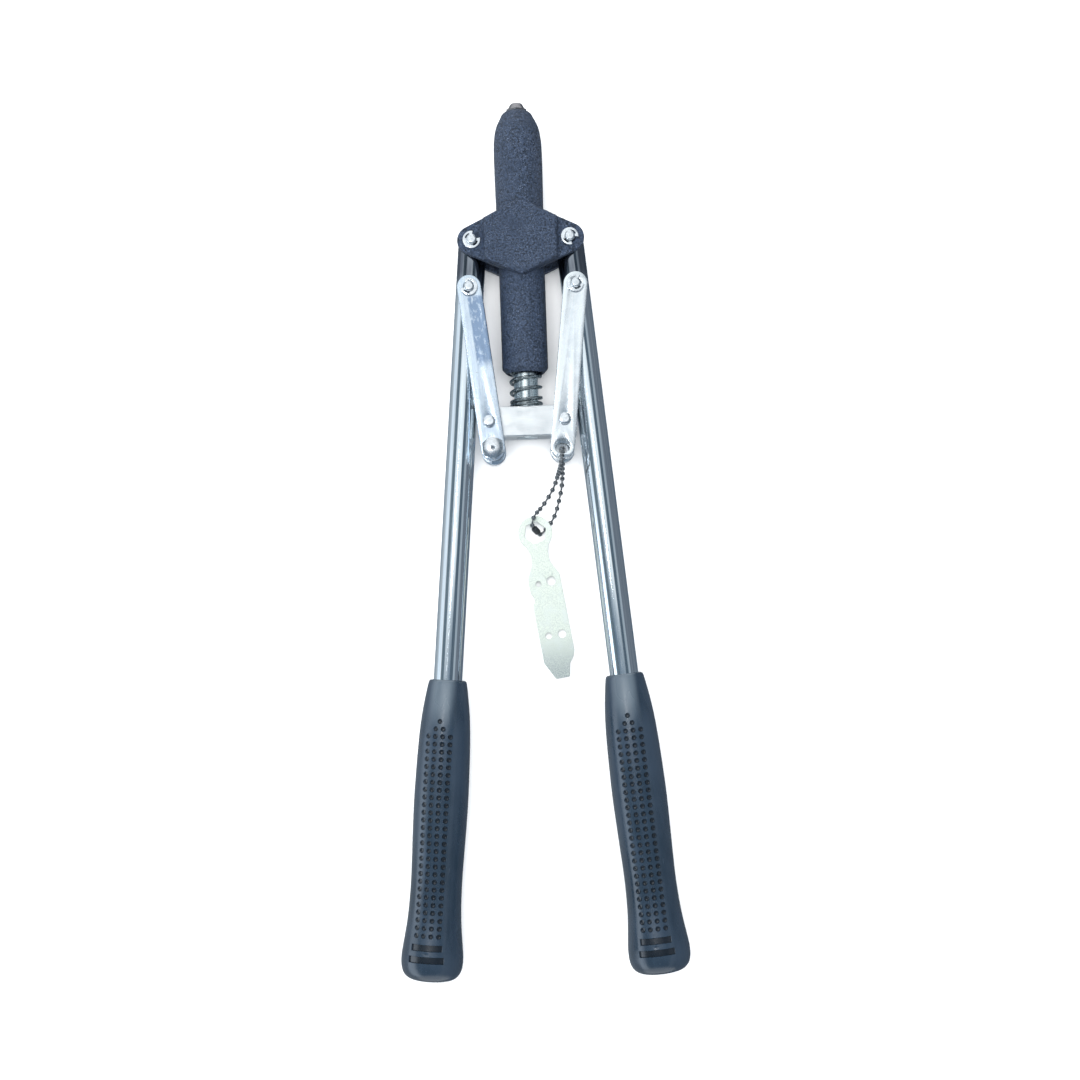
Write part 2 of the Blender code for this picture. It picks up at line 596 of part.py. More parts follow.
# ---- chain and spanner ----------------------------------------------------------------------
def smooth_route(points, step):
    """Points a step apart along a smooth curve through the given ones."""
    padded = [points[0] * 2 - points[1]] + points + [points[-1] * 2 - points[-2]]
    fine = []
    for p0, p1, p2, p3 in zip(padded, padded[1:], padded[2:], padded[3:]):
        for i in range(20):
            t = i / 20
            fine.append(0.5 * (2 * p1 + (p2 - p0) * t + (2 * p0 - 5 * p1 + 4 * p2 - p3) * t ** 2
                               + (3 * p1 - p0 - 3 * p2 + p3) * t ** 3))
    fine.append(points[-1])
    lengths = [0.0]
    for a, b in zip(fine, fine[1:]):
        lengths.append(lengths[-1] + (b - a).length)
    count = round(lengths[-1] / step)
    route = []
    k = 0
    for i in range(count + 1):
        target = lengths[-1] * i / count
        while k < len(fine) - 2 and lengths[k + 1] < target:
            k += 1
        share = (target - lengths[k]) / (lengths[k + 1] - lengths[k])
        route.append(fine[k].lerp(fine[k + 1], min(share, 1.0)))
    return route


def make_strand(name, points, pivot):
    """A plain tube along one side of the chain's loop."""
    world = [Vector(p) * MM + Vector((0, EAR_Y, 0)) for p in points]
    route = smooth_route(world, CHAIN_STEP)
    curve = bpy.data.curves.new(name, "CURVE")
    curve.dimensions = "3D"
    curve.bevel_depth = CHAIN_DIAMETER / 2
    curve.bevel_resolution = 2
    curve.use_fill_caps = True
    spline = curve.splines.new("POLY")
    spline.points.add(len(route) - 1)
    for point, place in zip(spline.points, route):
        point.co = (*(place - pivot.location), 1.0)
    curve.materials.append(MATERIALS["chain"])
    item = bpy.data.objects.new(name, curve)
    bpy.context.scene.collection.objects.link(item)
    item.parent = pivot
    return item


def make_clasp(pivot):
    """The barrel that joins the chain's two ends, inside the spanner's hexagon."""
    start = Vector(STRAND_A[-1]) * MM
    end = Vector(STRAND_B[0]) * MM
    along = end - start
    half = along.length / 2 - 0.8 * MM
    bm = turned([(0, -half), (1.2 * MM, -half), (1.6 * MM, 0.5 * MM - half),
                 (1.6 * MM, half - 0.5 * MM), (1.2 * MM, half), (0, half)], 16)
    turn = along.to_track_quat("Y", "Z").to_euler()
    centre = (start + end) / 2 + Vector((0, EAR_Y, 0)) - pivot.location
    add_object("chain_clasp", bm, MATERIALS["chain"], pivot, centre, turn)


def make_spanner(pivot):
    """The flat nosepiece spanner: ringed hexagon, waist, gauge plate and screwdriver tip."""
    outline = arc((0, 0), 8.5 * MM, -48, 228, 24)
    left = [(-4.4, -10.5), (-4.4, -15.0), (-6.2, -18.6), (-8.0, -22.0), (-8.0, -29.5),
            (-6.9, -31.5), (-6.6, -33.5), (-8.0, -36.0), (-8.0, -64.6), (-3.6, -73.3)]
    right = [(3.4, -73.3), (4.6, -67.0), (7.2, -63.4), (8.0, -60.8), (8.0, -22.0),
             (6.2, -18.6), (4.4, -15.0), (4.4, -10.5)]
    outline += [(x * MM, y * MM) for x, y in left + right]
    spanner = add_object("nozzle_spanner", prism(outline, 0, SPANNER_THICKNESS),
                         MATERIALS["spanner"], pivot)
    low, high = -2 * MM, SPANNER_THICKNESS + 2 * MM
    hex_cut = add_object("cut_spanner_hex", prism(hexagon(SPANNER_HEX_FLATS, 12), low, high),
                         MATERIALS["steel"], pivot)
    boolean(spanner, hex_cut, "DIFFERENCE")
    gauges = ((-3.3, -25.3, 1.4), (3.3, -25.1, 2.35), (-3.2, -51.7, 1.7), (3.6, -51.9, 2.15))
    for index, (x, y, radius) in enumerate(gauges):
        cut_round(spanner, f"cut_gauge_{index + 1}", radius * MM, low, high,
                  (x * MM, y * MM, 0))
    return spanner


# ---- assembly -------------------------------------------------------------------------------
def crossbar_pin_y(arm_deg):
    """Height of the crossbar's pins, from the ear line, for an arm's angle."""
    angle = math.radians(arm_deg)
    across = EAR_X + LINK_PIN_S * math.sin(angle) - CROSSBAR_PIN_X
    return -LINK_PIN_S * math.cos(angle) - math.sqrt(LINK_LENGTH ** 2 - across ** 2)


def link_angle_deg(arm_deg):
    """How far a link leans inwards, for an arm's angle."""
    across = EAR_X + LINK_PIN_S * math.sin(math.radians(arm_deg)) - CROSSBAR_PIN_X
    return math.degrees(math.asin(across / LINK_LENGTH))


def pin_stray():
    """How far a crossbar pin strays outwards and backwards when its link follows the arm at a
    constant ratio, exact at both ends of the swing."""
    rest_y = crossbar_pin_y(ARM_REST_DEG)
    travel = crossbar_pin_y(ARM_REST_DEG + ARM_SWING_DEG) - rest_y
    rest_lean = link_angle_deg(ARM_REST_DEG)
    turn = link_angle_deg(ARM_REST_DEG + ARM_SWING_DEG) - rest_lean
    stray_x = 0.0
    stray_y = 0.0
    for step in range(101):
        share = step / 100
        arm = math.radians(ARM_REST_DEG + ARM_SWING_DEG * share)
        lean = math.radians(rest_lean + turn * share)
        x = EAR_X + LINK_PIN_S * math.sin(arm) - LINK_LENGTH * math.sin(lean)
        y = -LINK_PIN_S * math.cos(arm) - LINK_LENGTH * math.cos(lean)
        stray_x = max(stray_x, x - CROSSBAR_PIN_X)
        stray_y = max(stray_y, rest_y + travel * share - y)
    return stray_x, stray_y


def build_head(frame):
    make_head(frame)
    make_sleeve(frame)
    tail = 4.4 * MM + SLEEVE_FRONT - SLEEVE_INNER_FRONT
    make_nosepiece("mounted_nosepiece", 1.6 * MM, NOSE_TIP - SLEEVE_FRONT - GAP, 0.9 * MM, tail,
                   frame, (0, SLEEVE_FRONT + GAP, 0), (0, 0, 0))
    for side, name in ((-1, "left"), (1, "right")):
        place = (side * EAR_X, 0, 0)
        make_pin(f"{name}_ear_pin", PLATE_OUTER, frame, place)
        make_clip(f"{name}_ear_clip", PLATE_OUTER, 50 if side < 0 else -40, frame, place)


def build_drawbar(frame):
    pin_y = crossbar_pin_y(ARM_REST_DEG)
    drawbar = add_empty("drawbar_axis", (0, 0, 0), parent=frame)
    make_pull_rod(drawbar, pin_y)
    make_crossbar(drawbar, pin_y)
    make_jaw_case(drawbar)
    make_jaw_spring(drawbar)
    jaws = add_empty("jaw_axis", (0, 0, 0), parent=drawbar)
    make_jaw_pusher(jaws)
    for index in range(JAW_COUNT):
        make_jaw(index, jaws)
    make_return_spring(frame, pin_y)


def build_arm_and_link(frame, side, name):
    arm = add_empty(f"{name}_arm_pivot", (side * EAR_X, 0, 0), side * ARM_REST_DEG, frame)
    make_arm(name, arm)
    lean = ARM_REST_DEG + link_angle_deg(ARM_REST_DEG)
    link = add_empty(f"{name}_link_pivot", (0, -LINK_PIN_S, 0), -side * lean, arm)
    make_link(side, name, link)
    return link


def build_chain():
    lean = math.radians(link_angle_deg(ARM_REST_DEG))
    hole_x = CROSSBAR_PIN_X - STORE_OFFSET * math.sin(lean)
    hole_y = EAR_Y + crossbar_pin_y(ARM_REST_DEG) - STORE_OFFSET * math.cos(lean)
    chain = add_empty("chain_pivot", (hole_x, hole_y, 0))
    make_strand("chain_strand_a", STRAND_A, chain)
    make_strand("chain_strand_b", STRAND_B, chain)
    make_clasp(chain)
    centre = SPANNER_CENTRE + Vector((0, EAR_Y, 0))
    swing = add_empty("spanner_pivot", centre, SPANNER_TURN_DEG)
    tilt = add_empty("spanner_tilt", (0, 0, 0), parent=swing)
    tilt.rotation_euler = (math.radians(SPANNER_TILT_DEG), 0, 0)
    make_spanner(tilt)


def main():
    clear_scene()
    MATERIALS.update(
        dark_coat=make_material("dark_coat", (0.030, 0.036, 0.060), 0.1, 0.5),
        steel=make_material("steel", (0.42, 0.43, 0.44), 1.0, 0.35),
        nosepiece=make_material("nosepiece", (0.40, 0.41, 0.43), 1.0, 0.32),
        bright_zinc=make_material("bright_zinc", (0.80, 0.82, 0.84), 1.0, 0.28),
        zinc=make_material("zinc", (0.74, 0.80, 0.86), 1.0, 0.30),
        chrome=make_material("chrome", (0.80, 0.83, 0.86), 1.0, 0.10),
        spring=make_material("spring", (0.45, 0.47, 0.48), 1.0, 0.32),
        grip=make_material("grip", (0.018, 0.035, 0.060), 0.0, 0.38),
        chain=make_material("chain", (0.35, 0.36, 0.37), 1.0, 0.30),
        spanner=make_material("spanner", (0.62, 0.65, 0.60), 1.0, 0.42),
    )
    frame = add_empty("tool_frame", (0, EAR_Y, MID_Z))
    build_head(frame)
    build_drawbar(frame)
    left_link = build_arm_and_link(frame, -1, "left")
    right_link = build_arm_and_link(frame, 1, "right")
    make_spare_nosepiece("spare_nosepiece_small", 1, 0.85 * MM, left_link)
    make_spare_nosepiece("spare_nosepiece_medium", -1, 1.05 * MM, left_link)
    make_spare_nosepiece("spare_nosepiece_large", -1, 1.3 * MM, right_link)
    build_chain()
    bpy.context.view_layer.update()


MATERIALS = {}
main()
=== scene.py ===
"""The long-arm hand riveter's looks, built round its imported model.

Metres. +Y runs towards the nose, and the tool lies on the floor at z = 0.
"""

import math

import bmesh
import bpy
from mathutils import Matrix, Vector, noise


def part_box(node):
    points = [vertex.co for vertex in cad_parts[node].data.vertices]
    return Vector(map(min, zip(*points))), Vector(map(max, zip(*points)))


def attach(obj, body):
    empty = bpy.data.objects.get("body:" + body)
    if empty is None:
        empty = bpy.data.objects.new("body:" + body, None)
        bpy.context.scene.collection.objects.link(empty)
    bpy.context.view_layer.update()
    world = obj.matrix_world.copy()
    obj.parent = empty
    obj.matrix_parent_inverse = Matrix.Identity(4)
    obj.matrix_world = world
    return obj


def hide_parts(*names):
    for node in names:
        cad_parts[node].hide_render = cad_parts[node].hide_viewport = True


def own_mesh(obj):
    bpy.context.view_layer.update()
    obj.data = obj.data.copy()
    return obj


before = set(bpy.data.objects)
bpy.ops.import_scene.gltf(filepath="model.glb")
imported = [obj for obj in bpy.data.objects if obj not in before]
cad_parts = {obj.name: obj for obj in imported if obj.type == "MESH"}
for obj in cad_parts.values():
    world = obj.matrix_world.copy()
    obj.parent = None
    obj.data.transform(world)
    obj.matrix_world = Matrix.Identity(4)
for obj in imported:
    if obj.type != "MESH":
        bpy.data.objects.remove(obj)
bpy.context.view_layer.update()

MM = 0.001
GAP = 0.3 * MM


def centre_of(node):
    low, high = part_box(node)
    return (low + high) / 2


SIDES = ((-1, "left"), (1, "right"))
MID_Z = centre_of("crossbar").z
EAR_Y = centre_of("left_ear_pin").y
EAR_X = centre_of("right_ear_pin").x
BARREL_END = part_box("head_casting")[0].y - EAR_Y
SLEEVE_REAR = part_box("nose_sleeve")[0].y - EAR_Y
SLEEVE_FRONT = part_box("nose_sleeve")[1].y - EAR_Y
CROSSBAR_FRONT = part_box("crossbar")[1].y - EAR_Y
CROSSBAR_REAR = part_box("crossbar")[0].y - EAR_Y

PLATE_INNER = 7.3 * MM
PLATE_OUTER = 11.5 * MM
EAR_RADIUS = 7.2 * MM
BARREL_RADIUS = 11.4 * MM
COLLAR_RADIUS = 11.85 * MM
COLLAR_FRONT = 19.9 * MM
NECK_RADIUS = 10.0 * MM
NECK_FRONT = 30.0 * MM
CASE_BORE_RADIUS = 8.7 * MM
CASE_BORE_END = -10.0 * MM
GUIDE_BORE_RADIUS = 6.3 * MM
SPRING_BORE_RADIUS = 8.6 * MM
SPRING_BORE_END = -48.4 * MM
ROD_RADIUS = 6.0 * MM
ROD_TAIL_RADIUS = 5.0 * MM
ROD_BORE_RADIUS = 2.5 * MM
RETURN_WIRE_RADIUS = 0.8 * MM
JAW_WIRE_RADIUS = 0.45 * MM
LINK_INNER = 7.3 * MM
LINK_OUTER = 10.3 * MM
LINK_HALF_WIDTH = 6.0 * MM
STORE_OFFSET = 13.5 * MM
PIN_RADIUS = 2.5 * MM
PIN_HOLE_RADIUS = 2.8 * MM
GROOVE_RADIUS = 1.9 * MM
CLIP_THICKNESS = 0.8 * MM
NOSEPIECE_FLATS = 10.0 * MM
SHANK_RADIUS = 3.4 * MM
STORED_SHANK = 5.2 * MM
STORE_HOLE_RADIUS = 3.7 * MM
CHAIN_DIAMETER = 2.4 * MM
CHAIN_PITCH = 4.0 * MM
AXIS = Matrix.Translation((0, EAR_Y, MID_Z))  # the tool's own axis


# ---- camera ----
def make_camera():
    data = bpy.data.cameras.new("camera")
    data.sensor_width = 36.0
    data.lens = 61.04
    data.clip_start = 0.01
    data.clip_end = 20.0
    item = new_object("camera", data)
    item.location = (0.00645, -0.08104, 0.915)
    item.rotation_euler = (0.08504, 0.00538, -0.03518)
    bpy.context.scene.camera = item


# ---- mesh helpers ----
CIRCLE_POINTS = 48


def new_object(name, data, place=None):
    """data is what the object holds, or a bmesh that becomes its mesh."""
    if isinstance(data, bmesh.types.BMesh):
        bmesh.ops.remove_doubles(data, verts=data.verts[:], dist=1e-7)
        bmesh.ops.recalc_face_normals(data, faces=data.faces[:])
        mesh = bpy.data.meshes.new(name)
        data.to_mesh(mesh)
        data.free()
        data = mesh
    item = bpy.data.objects.new(name, data)
    bpy.context.scene.collection.objects.link(item)
    if place is not None:
        item.matrix_world = place
    return item


def shade(item, angle=35.0):
    item.data.shade_smooth()
    item.data.set_sharp_from_angle(angle=math.radians(angle))


def bake(item):
    """Turns an object's curve or modifiers into its own mesh."""
    bpy.context.view_layer.update()
    graph = bpy.context.evaluated_depsgraph_get()
    mesh = bpy.data.meshes.new_from_object(item.evaluated_get(graph))
    if item.type == "MESH":
        item.modifiers.clear()
        item.data = mesh
        return item
    name, place = item.name, item.matrix_world.copy()
    bpy.data.objects.remove(item)
    bm = bmesh.new()
    bm.from_mesh(mesh)
    bmesh.ops.remove_doubles(bm, verts=bm.verts[:], dist=2e-6)
    return new_object(name, bm, place)


def boolean(item, guide, operation):
    step = item.modifiers.new("cut", "BOOLEAN")
    step.operation = operation
    step.solver = "EXACT"
    step.object = guide
    bake(item)
    bpy.data.objects.remove(guide)
    return item


def join(bm, ring, following):
    """Faces between two closed rings of as many points."""
    for i in range(len(ring)):
        j = (i + 1) % len(ring)
        bm.faces.new((ring[i], ring[j], following[j], following[i]))


def turned(profile, segments, axis="Y"):
    """A body turned about Y or Z from a closed outline of (radius, height) points."""
    bm = bmesh.new()
    rings = []
    for radius, height in profile:
        if radius == 0:
            rings.append([bm.verts.new((0, height, 0))] * segments)
            continue
        ring = []
        for i in range(segments):
            angle = 2 * math.pi * i / segments
            ring.append(bm.verts.new((radius * math.cos(angle), height, radius * math.sin(angle))))
        rings.append(ring)
    for ring, following in zip(rings, rings[1:] + rings[:1]):
        for i in range(segments):
            j = (i + 1) % segments
            unique = list(dict.fromkeys([ring[i], ring[j], following[j], following[i]]))
            if len(unique) > 2:
                bm.faces.new(unique)
    if axis == "Z":
        turn = Matrix.Rotation(math.radians(90), 3, "X")
        bmesh.ops.rotate(bm, verts=bm.verts[:], matrix=turn)
    return bm


def arc(centre, radius, start_deg, end_deg, count):
    points = []
    for i in range(count + 1):
        angle = math.radians(start_deg + (end_deg - start_deg) * i / count)
        points.append((centre[0] + radius * math.cos(angle), centre[1] + radius * math.sin(angle)))
    return points


def circle(centre, radius):
    return arc(centre, radius, 0, 360 * (CIRCLE_POINTS - 1) / CIRCLE_POINTS, CIRCLE_POINTS - 1)


def cut_pin_hole(item, reach, place):
    """Cuts a pin's hole through the item, along Z."""
    outline = [(0, -reach), (PIN_HOLE_RADIUS, -reach), (PIN_HOLE_RADIUS, reach), (0, reach)]
    boolean(item, new_object("guide", turned(outline, 40, "Z"), place), "DIFFERENCE")


def plate(name, outlines, low, high, edge, place=None):
    """A flat plate along Z with softened edges. The first outline is its rim, the rest holes."""
    curve = bpy.data.curves.new(name, "CURVE")
    curve.dimensions = "2D"
    curve.fill_mode = "BOTH"
    curve.extrude = (high - low) / 2 - edge
    curve.bevel_depth = edge
    curve.bevel_resolution = 2
    curve.offset = -edge
    for outline in outlines:
        spline = curve.splines.new("POLY")
        spline.points.add(len(outline) - 1)
        spline.use_cyclic_u = True
        for point, (x, y) in zip(spline.points, outline):
            point.co = (x, y, 0, 1)
    middle = Matrix.Translation((0, 0, (low + high) / 2))
    item = bake(new_object(name, curve))
    item.data.transform(middle)
    if place is not None:
        item.matrix_world = place
    shade(item)
    return item


def hull(name, points, low, high, chamfer, place):
    """A convex plate along Z whose face at high is drawn in by the chamfer."""
    bm = bmesh.new()
    centre = sum((Vector(p) for p in points), Vector((0, 0))) / len(points)
    step = math.copysign(chamfer, high - low)
    for x, y in points:
        inward = (centre - Vector((x, y))).normalized() * chamfer
        bm.verts.new((x, y, low))
        bm.verts.new((x, y, high - step))
        bm.verts.new((x + 0.3 * inward.x, y + 0.3 * inward.y, high - 0.3 * step))
        bm.verts.new((x + inward.x, y + inward.y, high))
    result = bmesh.ops.convex_hull(bm, input=bm.verts[:])
    spare = [v for v in result["geom_interior"] if isinstance(v, bmesh.types.BMVert)]
    bmesh.ops.delete(bm, geom=spare, context="VERTS")
    return new_object(name, bm, place)


def smooth_line(points, step):
    """Points a step apart along a smooth curve through the given ones."""
    points = [Vector(p) for p in points]
    padded = [points[0] * 2 - points[1]] + points + [points[-1] * 2 - points[-2]]
    fine = []
    for p0, p1, p2, p3 in zip(padded, padded[1:], padded[2:], padded[3:]):
        for i in range(24):
            t = i / 24
            fine.append(0.5 * (2 * p1 + (p2 - p0) * t + (2 * p0 - 5 * p1 + 4 * p2 - p3) * t ** 2
                               + (3 * p1 - p0 - 3 * p2 + p3) * t ** 3))
    fine.append(points[-1])
    lengths = [0.0]
    for a, b in zip(fine, fine[1:]):
        lengths.append(lengths[-1] + (b - a).length)
    count = round(lengths[-1] / step)
    line = []
    k = 0
    for i in range(count + 1):
        target = lengths[-1] * i / count
        while k < len(fine) - 2 and lengths[k + 1] < target:
            k += 1
        share = (target - lengths[k]) / (lengths[k + 1] - lengths[k])
        line.append(fine[k].lerp(fine[k + 1], min(share, 1.0)))
    return line


def sweep(bm, line, radius, sides):
    """A round tube along a line, with flat ends."""
    normal = (line[1] - line[0]).orthogonal().normalized()
    rings = []
    for i, point in enumerate(line):
        along = (line[min(i + 1, len(line) - 1)] - line[max(i - 1, 0)]).normalized()
        normal = (normal - along * normal.dot(along)).normalized()
        side = along.cross(normal)
        ring = []
        for k in range(sides):
            angle = 2 * math.pi * k / sides
            offset = normal * math.cos(angle) + side * math.sin(angle)
            ring.append(bm.verts.new(point + offset * radius))
        rings.append(ring)
    for ring, following in zip(rings, rings[1:]):
        join(bm, ring, following)
    bm.faces.new(rings[0][::-1])
    bm.faces.new(rings[-1])


def finished(item, body, slot, material, *nodes):
    """Puts the material on a piece, and fixes it to a body in place of those CAD nodes."""
    mesh = item.data
    own = mesh.attributes.new("own_place", "FLOAT_VECTOR", "POINT")
    for spot, v in zip(own.data, mesh.vertices):
        spot.vector = v.co
    mesh.transform(item.matrix_world)
    item.matrix_world = Matrix.Identity(4)
    mesh.materials.clear()
    mesh.materials.append(material)
    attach(item, body)
    if nodes:
        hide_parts(*nodes)
    return item


# ---- finishes ----
def preset(item, values):
    """Gives a node's inputs their fixed values."""
    for key, value in values.items():
        item.inputs[key].default_value = value


class Finish:
    """Builds a material's nodes. Sizes are in millimetres on the object."""

    def __init__(self, name, metallic, specular=0.5, cad=False):
        self.material = bpy.data.materials.new(name)
        self.material.use_nodes = True
        self.tree = self.material.node_tree
        self.shader = self.tree.nodes["Principled BSDF"]
        preset(self.shader, {"Metallic": metallic, "Specular IOR Level": specular})
        if cad:
            self.place = self.node("ShaderNodeTexCoord").outputs["Object"]
        else:
            source = self.node("ShaderNodeAttribute", attribute_name="own_place")
            self.place = source.outputs["Vector"]
        self.bumps = None

    def node(self, kind, **settings):
        item = self.tree.nodes.new(kind)
        for key, value in settings.items():
            setattr(item, key, value)
        return item

    def link(self, source, target):
        self.tree.links.new(source, target)

    def grain(self, size, stretch=(1, 1, 1), detail=3.0, turn=0.0, seed=0.0):
        """Noise whose spots are that many millimetres across, longer along an axis by stretch."""
        mapping = self.node("ShaderNodeMapping")
        self.link(self.place, mapping.inputs["Vector"])
        preset(mapping, {"Location": (seed, seed * 0.7, seed * 0.3),
                         "Rotation": (0, 0, math.radians(turn)),
                         "Scale": [1 / (s * size * MM) for s in stretch]})
        texture = self.node("ShaderNodeTexNoise")
        preset(texture, {"Scale": 1.0, "Detail": detail, "Roughness": 0.6})
        self.link(mapping.outputs["Vector"], texture.inputs["Vector"])
        return texture.outputs["Fac"]

    def level(self, source, low, high, to_low=0.0, to_high=1.0):
        """source between low and high, moved to run from to_low to to_high."""
        item = self.node("ShaderNodeMapRange", interpolation_type="SMOOTHSTEP")
        self.link(source, item.inputs["Value"])
        preset(item, {"From Min": low, "From Max": high, "To Min": to_low, "To Max": to_high})
        return item.outputs["Result"]

    def times(self, a, b):
        item = self.node("ShaderNodeMath", operation="MULTIPLY")
        self.link(a, item.inputs[0])
        self.link(b, item.inputs[1])
        return item.outputs["Value"]

    def along(self, axis):
        item = self.node("ShaderNodeSeparateXYZ")
        self.link(self.place, item.inputs["Vector"])
        return item.outputs[axis]

    def edges(self, radius):
        """1 at sharp outer edges and 0 on flat faces."""
        rounded = self.node("ShaderNodeBevel", samples=4)
        preset(rounded, {"Radius": radius * MM})
        flat = self.node("ShaderNodeNewGeometry").outputs["Normal"]
        dot = self.node("ShaderNodeVectorMath", operation="DOT_PRODUCT")
        self.link(rounded.outputs["Normal"], dot.inputs[0])
        self.link(flat, dot.inputs[1])
        return self.level(dot.outputs["Value"], 0.97, 0.82)

    def mixed(self, share, first, second):
        """first where share is 0, second where it is 1. Each is a colour or a socket."""
        item = self.node("ShaderNodeMix", data_type="RGBA")
        self.link(share, item.inputs["Factor"])
        for place, value in ((6, first), (7, second)):
            if isinstance(value, tuple):
                item.inputs[place].default_value = (*value, 1.0)
            else:
                self.link(value, item.inputs[place])
        return item.outputs[2]

    def colour(self, source):
        self.link(source, self.shader.inputs["Base Color"])

    def rough(self, source):
        self.link(source, self.shader.inputs["Roughness"])

    def relief(self, source, depth):
        """Raises the surface by source times depth millimetres."""
        item = self.node("ShaderNodeBump")
        preset(item, {"Strength": 1.0, "Distance": depth * MM})
        self.link(source, item.inputs["Height"])
        if self.bumps is not None:
            self.link(self.bumps, item.inputs["Normal"])
        self.bumps = item.outputs["Normal"]
        self.link(self.bumps, self.shader.inputs["Normal"])


def powder_coat():
    """Dark slate-blue wrinkle coat with pale flecks and rubbed edges."""
    f = Finish("dark_coat", 0.0, specular=0.6)
    wrinkle = f.grain(1.0, detail=2.0)
    fine = f.grain(0.45, detail=2.0, seed=3.0)
    base = f.mixed(f.level(wrinkle, 0.36, 0.64), (0.002, 0.006, 0.014), (0.026, 0.042, 0.078))
    base = f.mixed(f.level(fine, 0.54, 0.74), base, (0.14, 0.18, 0.26))
    base = f.mixed(f.level(f.grain(14.0, seed=7.0), 0.4, 0.75, 0.0, 0.6), base,
                   f.mixed(wrinkle, (0.002, 0.006, 0.014), (0.026, 0.043, 0.082)))
    base = f.mixed(f.times(f.edges(0.35), f.level(fine, 0.4, 0.7)), base, (0.12, 0.14, 0.18))
    f.colour(base)
    f.rough(f.level(fine, 0.3, 0.7, 0.4, 0.58))
    f.relief(wrinkle, 0.8)
    f.relief(fine, 0.35)
    return f.material


def vinyl():
    """Dark blue-green dipped vinyl with a soft gloss."""
    f = Finish("grip_vinyl", 0.0, specular=0.8)
    cloud = f.grain(16.0, (1, 2.5, 1), seed=1.0)
    fine = f.grain(0.35, detail=2.0, seed=4.0)
    base = f.mixed(f.level(cloud, 0.3, 0.7), (0.007, 0.016, 0.028), (0.015, 0.028, 0.047))
    scuff = f.level(f.grain(2.2, (1, 4.0, 1), seed=9.0), 0.66, 0.8)
    base = f.mixed(f.times(scuff, f.level(fine, 0.45, 0.6)), base, (0.05, 0.065, 0.085))
    # Painted sheen: a paler patch down the middle of the grip's front end stands in for a
    # highlight.
    painted_sheen = f.times(f.level(f.along("Y"), -246 * MM, -224 * MM),
                  f.times(f.level(f.along("X"), -8 * MM, -2 * MM),
                          f.level(f.along("X"), 7 * MM, 3 * MM)))
    base = f.mixed(f.times(painted_sheen, f.level(cloud, 0.2, 0.6, 0.6, 1.0)), base, (0.075, 0.098, 0.12))
    # Painted shade: the dimples and the sunk bars are darkened by their depth, standing in for the
    # shade inside them.
    sunk = f.node("ShaderNodeAttribute", attribute_name="sunk").outputs["Fac"]
    base = f.mixed(f.level(sunk, 0.05, 0.5, 0.0, 0.85), base, (0.001, 0.002, 0.004))
    f.colour(base)
    f.rough(f.level(cloud, 0.3, 0.7, 0.22, 0.32))
    f.relief(fine, 0.015)
    f.relief(f.grain(3.0, seed=6.0), 0.03)
    return f.material


def chrome():
    """Bright plated tube with faint drawing lines along it."""
    f = Finish("chrome_tube", 1.0)
    lines = f.grain(0.5, (1, 90.0, 1))
    cloud = f.grain(5.0, (1, 9.0, 1), seed=2.0)
    base = f.mixed(f.level(lines, 0.35, 0.65), (0.7, 0.77, 0.82), (0.86, 0.91, 0.94))
    base = f.mixed(f.level(cloud, 0.62, 0.8), base, (0.55, 0.63, 0.7))
    # Painted shade: the tube darkens next to the head, standing in for the head's shadow and its
    # dark reflection.
    painted_head_shade = f.times(f.level(f.along("Y"), -30 * MM, -14 * MM), f.level(cloud, 0.3, 0.6, 0.7, 0.95))
    base = f.mixed(painted_head_shade, base, (0.12, 0.13, 0.16))
    f.colour(base)
    f.rough(f.level(cloud, 0.3, 0.75, 0.07, 0.19))
    f.relief(lines, 0.006)
    # Painted shade: the grey edge tint dims the grazing reflections, standing in for the shaded
    # floor beside the tube.
    preset(f.shader, {"Specular Tint": (0.7, 0.75, 0.8, 1.0)})
    return f.material


def plated(name, tones, rough, brush=(1, 14.0, 1), dark_patch=None, cad=False):
    """Flat plated steel brushed along Y, with an optional darker patch given as ((x0, x1), (y0,
    y1)) in mm.
    """
    f = Finish(name, 1.0, cad=cad)
    lines = f.grain(0.35, brush)
    cloud = f.grain(6.0, seed=5.0)
    base = f.mixed(f.level(lines, 0.3, 0.7), tones[0], tones[1])
    base = f.mixed(f.level(cloud, 0.58, 0.82), base, tones[2])
    if dark_patch is not None:
        (x0, x1), (y0, y1) = dark_patch
        ragged = f.grain(1.6, (1, 2.0, 1), seed=8.0)
        across = f.level(f.along("X"), x0 * MM, x1 * MM)
        down = f.times(f.level(f.along("Y"), y0 * MM, (y0 + 6.0) * MM),
                       f.level(f.along("Y"), y1 * MM, (y1 - 2.0) * MM))
        patch = f.times(f.times(across, down), f.level(ragged, 0.25, 0.5))
        base = f.mixed(patch, base, tones[3])
    base = f.mixed(f.edges(0.25), base, (0.95, 0.97, 1.0))
    f.colour(base)
    f.rough(f.level(cloud, 0.3, 0.75, *rough))
    f.relief(lines, 0.012)
    f.relief(f.level(f.grain(0.25, (1, 60.0, 1), turn=24.0, seed=11.0), 0.72, 0.8), 0.01)
    return f.material


def machined(name, dark, light, rough, rings=(1, 0.05, 1), cad=False):
    """Turned or pressed steel with fine tool marks."""
    f = Finish(name, 1.0, cad=cad)
    marks = f.grain(2.0, rings, detail=2.0)
    cloud = f.grain(1.4, seed=5.0)
    base = f.mixed(f.level(marks, 0.3, 0.7), dark, light)
    base = f.mixed(f.level(cloud, 0.6, 0.8), base, tuple(0.7 * c for c in dark))
    base = f.mixed(f.edges(0.15), base, tuple(min(1.0, 1.25 * c) for c in light))
    f.colour(base)
    f.rough(f.level(cloud, 0.3, 0.75, *rough))
    f.relief(marks, 0.008)
    return f.material


